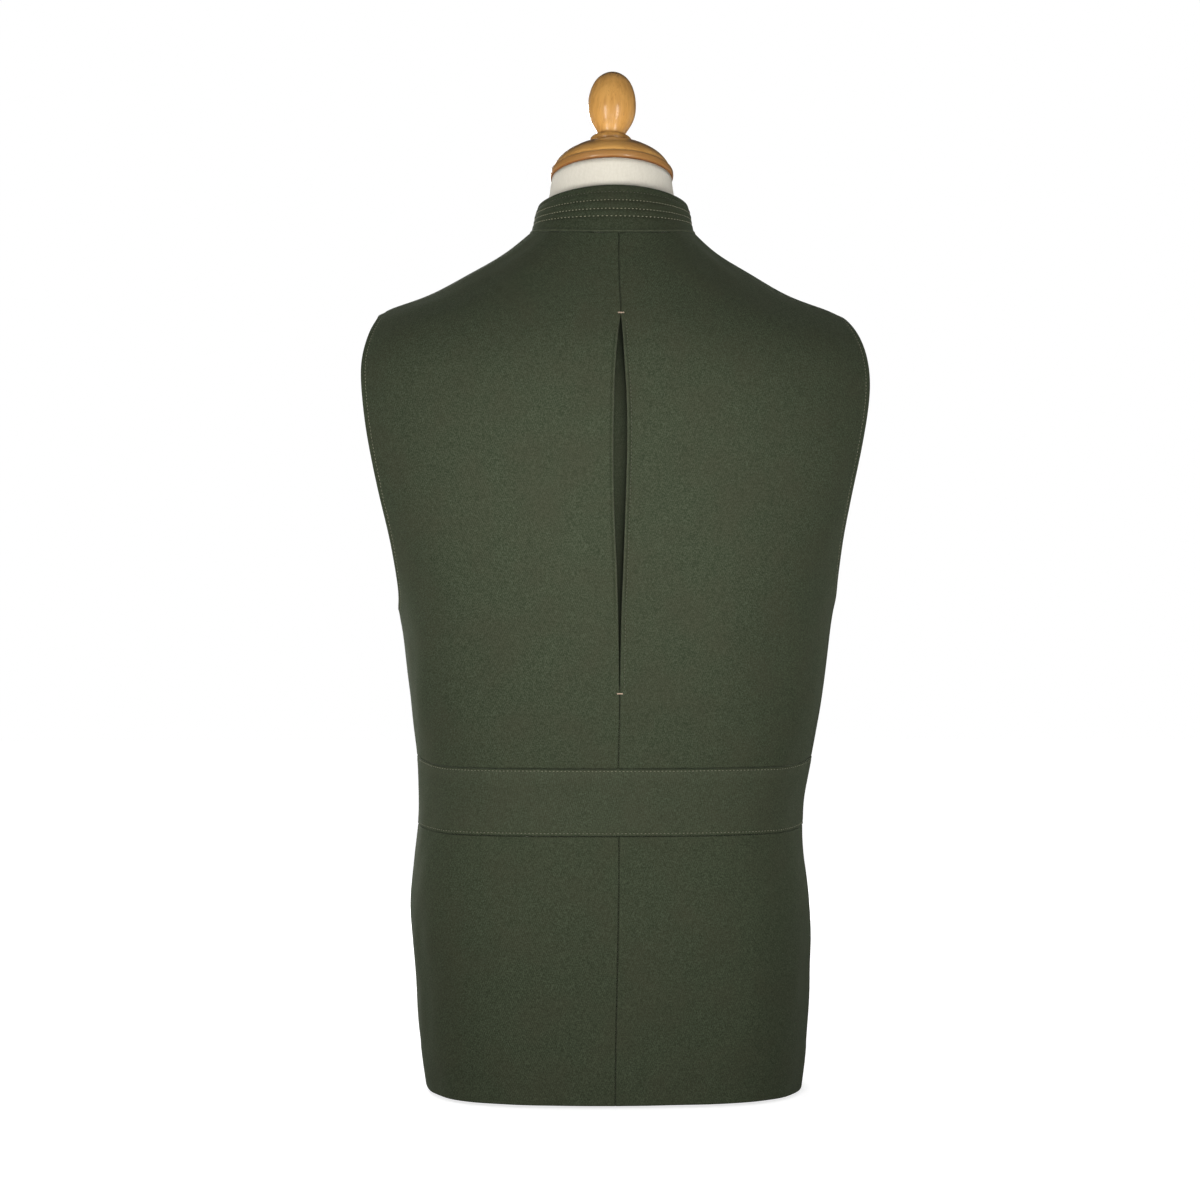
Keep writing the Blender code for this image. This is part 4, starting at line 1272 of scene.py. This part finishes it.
def form_body():
    bm = bmesh.new()
    bmesh.ops.create_uvsphere(bm, u_segments=FORM_SIDES, v_segments=FORM_RINGS_UP, radius=1)
    uv = bm.loops.layers.uv.new("cloth")
    girth = math.tau * 0.13
    places = {}
    for vert in bm.verts:
        step = round(math.acos(max(-1, min(1, -vert.co.z))) / math.pi * FORM_RINGS_UP)
        level = NECK_TOP * (step - 1) / (FORM_RINGS_UP - 2)
        angle = math.degrees(math.atan2(vert.co.x, vert.co.y)) % 360
        places[vert] = angle, min(max(level, 0), NECK_TOP), 0 < step < FORM_RINGS_UP
    angles, levels, _ = (np.array(column) for column in zip(*places.values()))
    seam = 0.35 * MM * np.exp(-(((angles + 180) % 360 - 180) / 1.2) ** 2)
    points = FORM.point(angles, levels, seam)
    for vert, point in zip(places, points):
        vert.co = point
    for vert, (_, level, is_ring) in places.items():
        if not is_ring:
            ring = FORM.bare(np.arange(0, 360, 5.0), level).mean(axis=0)
            vert.co = ring
    for corner in [corner for quad in bm.faces for corner in quad.loops]:
        turns = [places[other.vert][0] for other in corner.face.loops]
        angle, level, _ = places[corner.vert]
        wrapped = angle + 360 if max(turns) - min(turns) > 180 and angle < 180 else angle
        corner[uv].uv = wrapped / 360 * girth, level
    bmesh.ops.recalc_face_normals(bm, faces=bm.faces[:])
    mesh = bpy.data.meshes.new("form_linen")
    bm.to_mesh(mesh)
    bm.free()
    print("form_linen has", len(mesh.polygons), "faces")
    return link("form_linen", mesh, CREAM_LINEN)


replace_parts(form_body(), "form_body")

# %% [markdown]
# ## Buttons
#
# Six horn buttons close the left front. Each is turned like the cap, with a dished face. Four holes
# need a floor that is pierced, which triangle_fill makes from five circles, and extruding that floor
# gives the holes their walls. Two bars of thread cross in them.

# %% Buttons
BUTTON_RUNS = [
    [(6.2, 0.2), (6.6, 0.0)],
    [(6.6, 0.0), (8.2, 0.2), (9.4, 0.9), (9.95, 1.9), (9.7, 2.9), (8.9, 3.5), (8.0, 3.55), (7.2, 3.1),
     (6.6, 2.7), (6.0, 2.5)],
    [(6.0, 2.5), (6.2, 0.2)],
]
HOLE_PLACES = [(1.7, 1.7), (-1.7, 1.7), (-1.7, -1.7), (1.7, -1.7)]


def button(number):
    level = button_level(number)
    base = Vector(CLOTH.point(180.0, level, LAP_STEP + 0.3 * MM))
    way = Vector(CLOTH.normal(180.0, level))
    place = Matrix.Translation(base) @ way.to_track_quat("Z", "Y").to_matrix().to_4x4()
    rim = spun(f"horn_button_{number}", BUTTON_RUNS, 48, place, BROWN_HORN)
    bm = bmesh.new()
    bm.from_mesh(rim.data)
    rings = []
    for x, y, radius, sides in [(0, 0, 6.3, 32)] + [(x, y, 0.95, 12) for x, y in HOLE_PLACES]:
        spot = place @ Matrix.Translation((x * MM, y * MM, 2.3 * MM))
        ring = bmesh.ops.create_circle(bm, segments=sides, radius=radius * MM, matrix=spot)["verts"]
        rings += {edge for vert in ring for edge in vert.link_edges}
    floor = bmesh.ops.triangle_fill(bm, use_beauty=True, edges=rings)["geom"]
    floor = [item for item in floor if isinstance(item, bmesh.types.BMFace)]
    below = bmesh.ops.extrude_face_region(bm, geom=floor, use_keep_orig=True)["geom"]
    below = [item for item in below if isinstance(item, bmesh.types.BMVert)]
    bmesh.ops.translate(bm, verts=below, vec=-way * 2.0 * MM)
    bmesh.ops.recalc_face_normals(bm, faces=bm.faces[:])
    bm.to_mesh(rim.data)
    bm.free()
    rim.data.set_sharp_from_angle(angle=math.radians(40))
    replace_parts(rim, f"button_{number}")
    ends = [(Vector((x, y, 2.6)) * MM, Vector((-x, -y, 2.6)) * MM) for x, y in HOLE_PLACES[:2]]
    paths = [
        (np.array([place @ ends[i][0], place @ ends[i][1]]), np.array([way, way])) for i in (0, 1)
    ]
    span = (ends[0][0] - ends[0][1]).length
    return sew(f"button_thread_{number}", paths, GREEN_THREAD, pitch=span * 0.66, length=span, width=1.0 * MM)


for number in range(1, BUTTON_COUNT + 1):
    button(number)

# %% [markdown]
# ## Floor and light
#
# The floor is plain and pale, and glows with painted light: dimmer near the form, so that its shadow
# shows, and white further off, where no lamp reaches. The world behind is plain white for the camera
# only: what lights the cloth from the sides and above is much dimmer, so the wool keeps its depth.
# The key is one big soft light at chest height, close enough that the hem and the shoulders get less
# of it.

# %% Floor
def floor():
    bm = bmesh.new()
    bmesh.ops.create_grid(bm, x_segments=1, y_segments=1, size=6)
    mesh = bpy.data.meshes.new("floor")
    bm.to_mesh(mesh)
    bm.free()
    recipe = Recipe("pale_floor")
    here = recipe.place()
    tone = recipe.blend(recipe.noise(here, 3), (0.46, 0.46, 0.46), (0.49, 0.49, 0.49))
    away = recipe.node("ShaderNodeVectorMath", {"operation": "LENGTH"}, {0: here}, output=1)
    # Painted light: the floor glows, dimmer near the form and white from 1.5 m out.
    painted_glow = recipe.blend(away.ease(0.3, 1.5), (0.76, 0.76, 0.76), (1.0, 1.0, 1.0))
    recipe.finish(Base_Color=tone, Roughness=0.9, Emission_Color=painted_glow, Emission_Strength=1.0)
    mesh.materials.append(recipe.material)
    made = bpy.data.objects.new("floor", mesh)
    made.visible_diffuse = False
    made.visible_glossy = False
    bpy.context.scene.collection.objects.link(made)


floor()

# %% World and lights
AMBIENT = 0.07


def white_world():
    world = bpy.data.worlds.new("white")
    world.use_nodes = True
    nodes, links = world.node_tree.nodes, world.node_tree.links
    seen = nodes.new("ShaderNodeLightPath").outputs["Is Camera Ray"]
    strength = nodes.new("ShaderNodeMapRange")
    strength.inputs["To Min"].default_value = AMBIENT
    strength.inputs["To Max"].default_value = 1.0
    links.new(seen, strength.inputs["Value"])
    links.new(strength.outputs[0], nodes["Background"].inputs["Strength"])
    nodes["Background"].inputs["Color"].default_value = (1, 1, 1, 1)
    bpy.context.scene.world = world


def softbox(name, place, aim, width, height, watts, beam_deg=180):
    light = bpy.data.lights.new(name, "AREA")
    light.shape = "RECTANGLE"
    light.size, light.size_y, light.energy = width, height, watts
    light.spread = math.radians(beam_deg)
    made = bpy.data.objects.new(name, light)
    made.location = place
    made.rotation_mode = "QUATERNION"
    made.rotation_quaternion = (Vector(aim) - Vector(place)).to_track_quat("-Z", "Y")
    made.visible_camera = False
    bpy.context.scene.collection.objects.link(made)
    return made


white_world()
softbox("key", (0.08, 1.05, 0.44), (0, 0.1, 0.43), 0.5, 0.4, 14.4).visible_glossy = False
softbox("back_fill", (0.04, 1.05, 0.48), (0, 0.1, 0.47), 0.6, 0.26, 0.22, beam_deg=36).visible_glossy = False
softbox("side_left", (1.2, -0.6, 0.4), (0, 0, 0.4), 0.6, 0.7, 1.7, beam_deg=60).visible_glossy = False
softbox("side_right", (-1.2, -0.6, 0.4), (0, 0, 0.4), 0.6, 0.7, 1.6, beam_deg=60).visible_glossy = False
softbox("front_fill", (0.35, -1.7, 0.75), (0, -0.1, 0.42), 1.0, 0.7, 28)
for name, x in (("strip_left", 1.04), ("strip_right", -0.78)):
    softbox(name, (x, 1.6, 0.66), (0, 0, 0.72), 0.34, 1.2, 11).visible_diffuse = False
bpy.context.scene.view_settings.view_transform = "Standard"
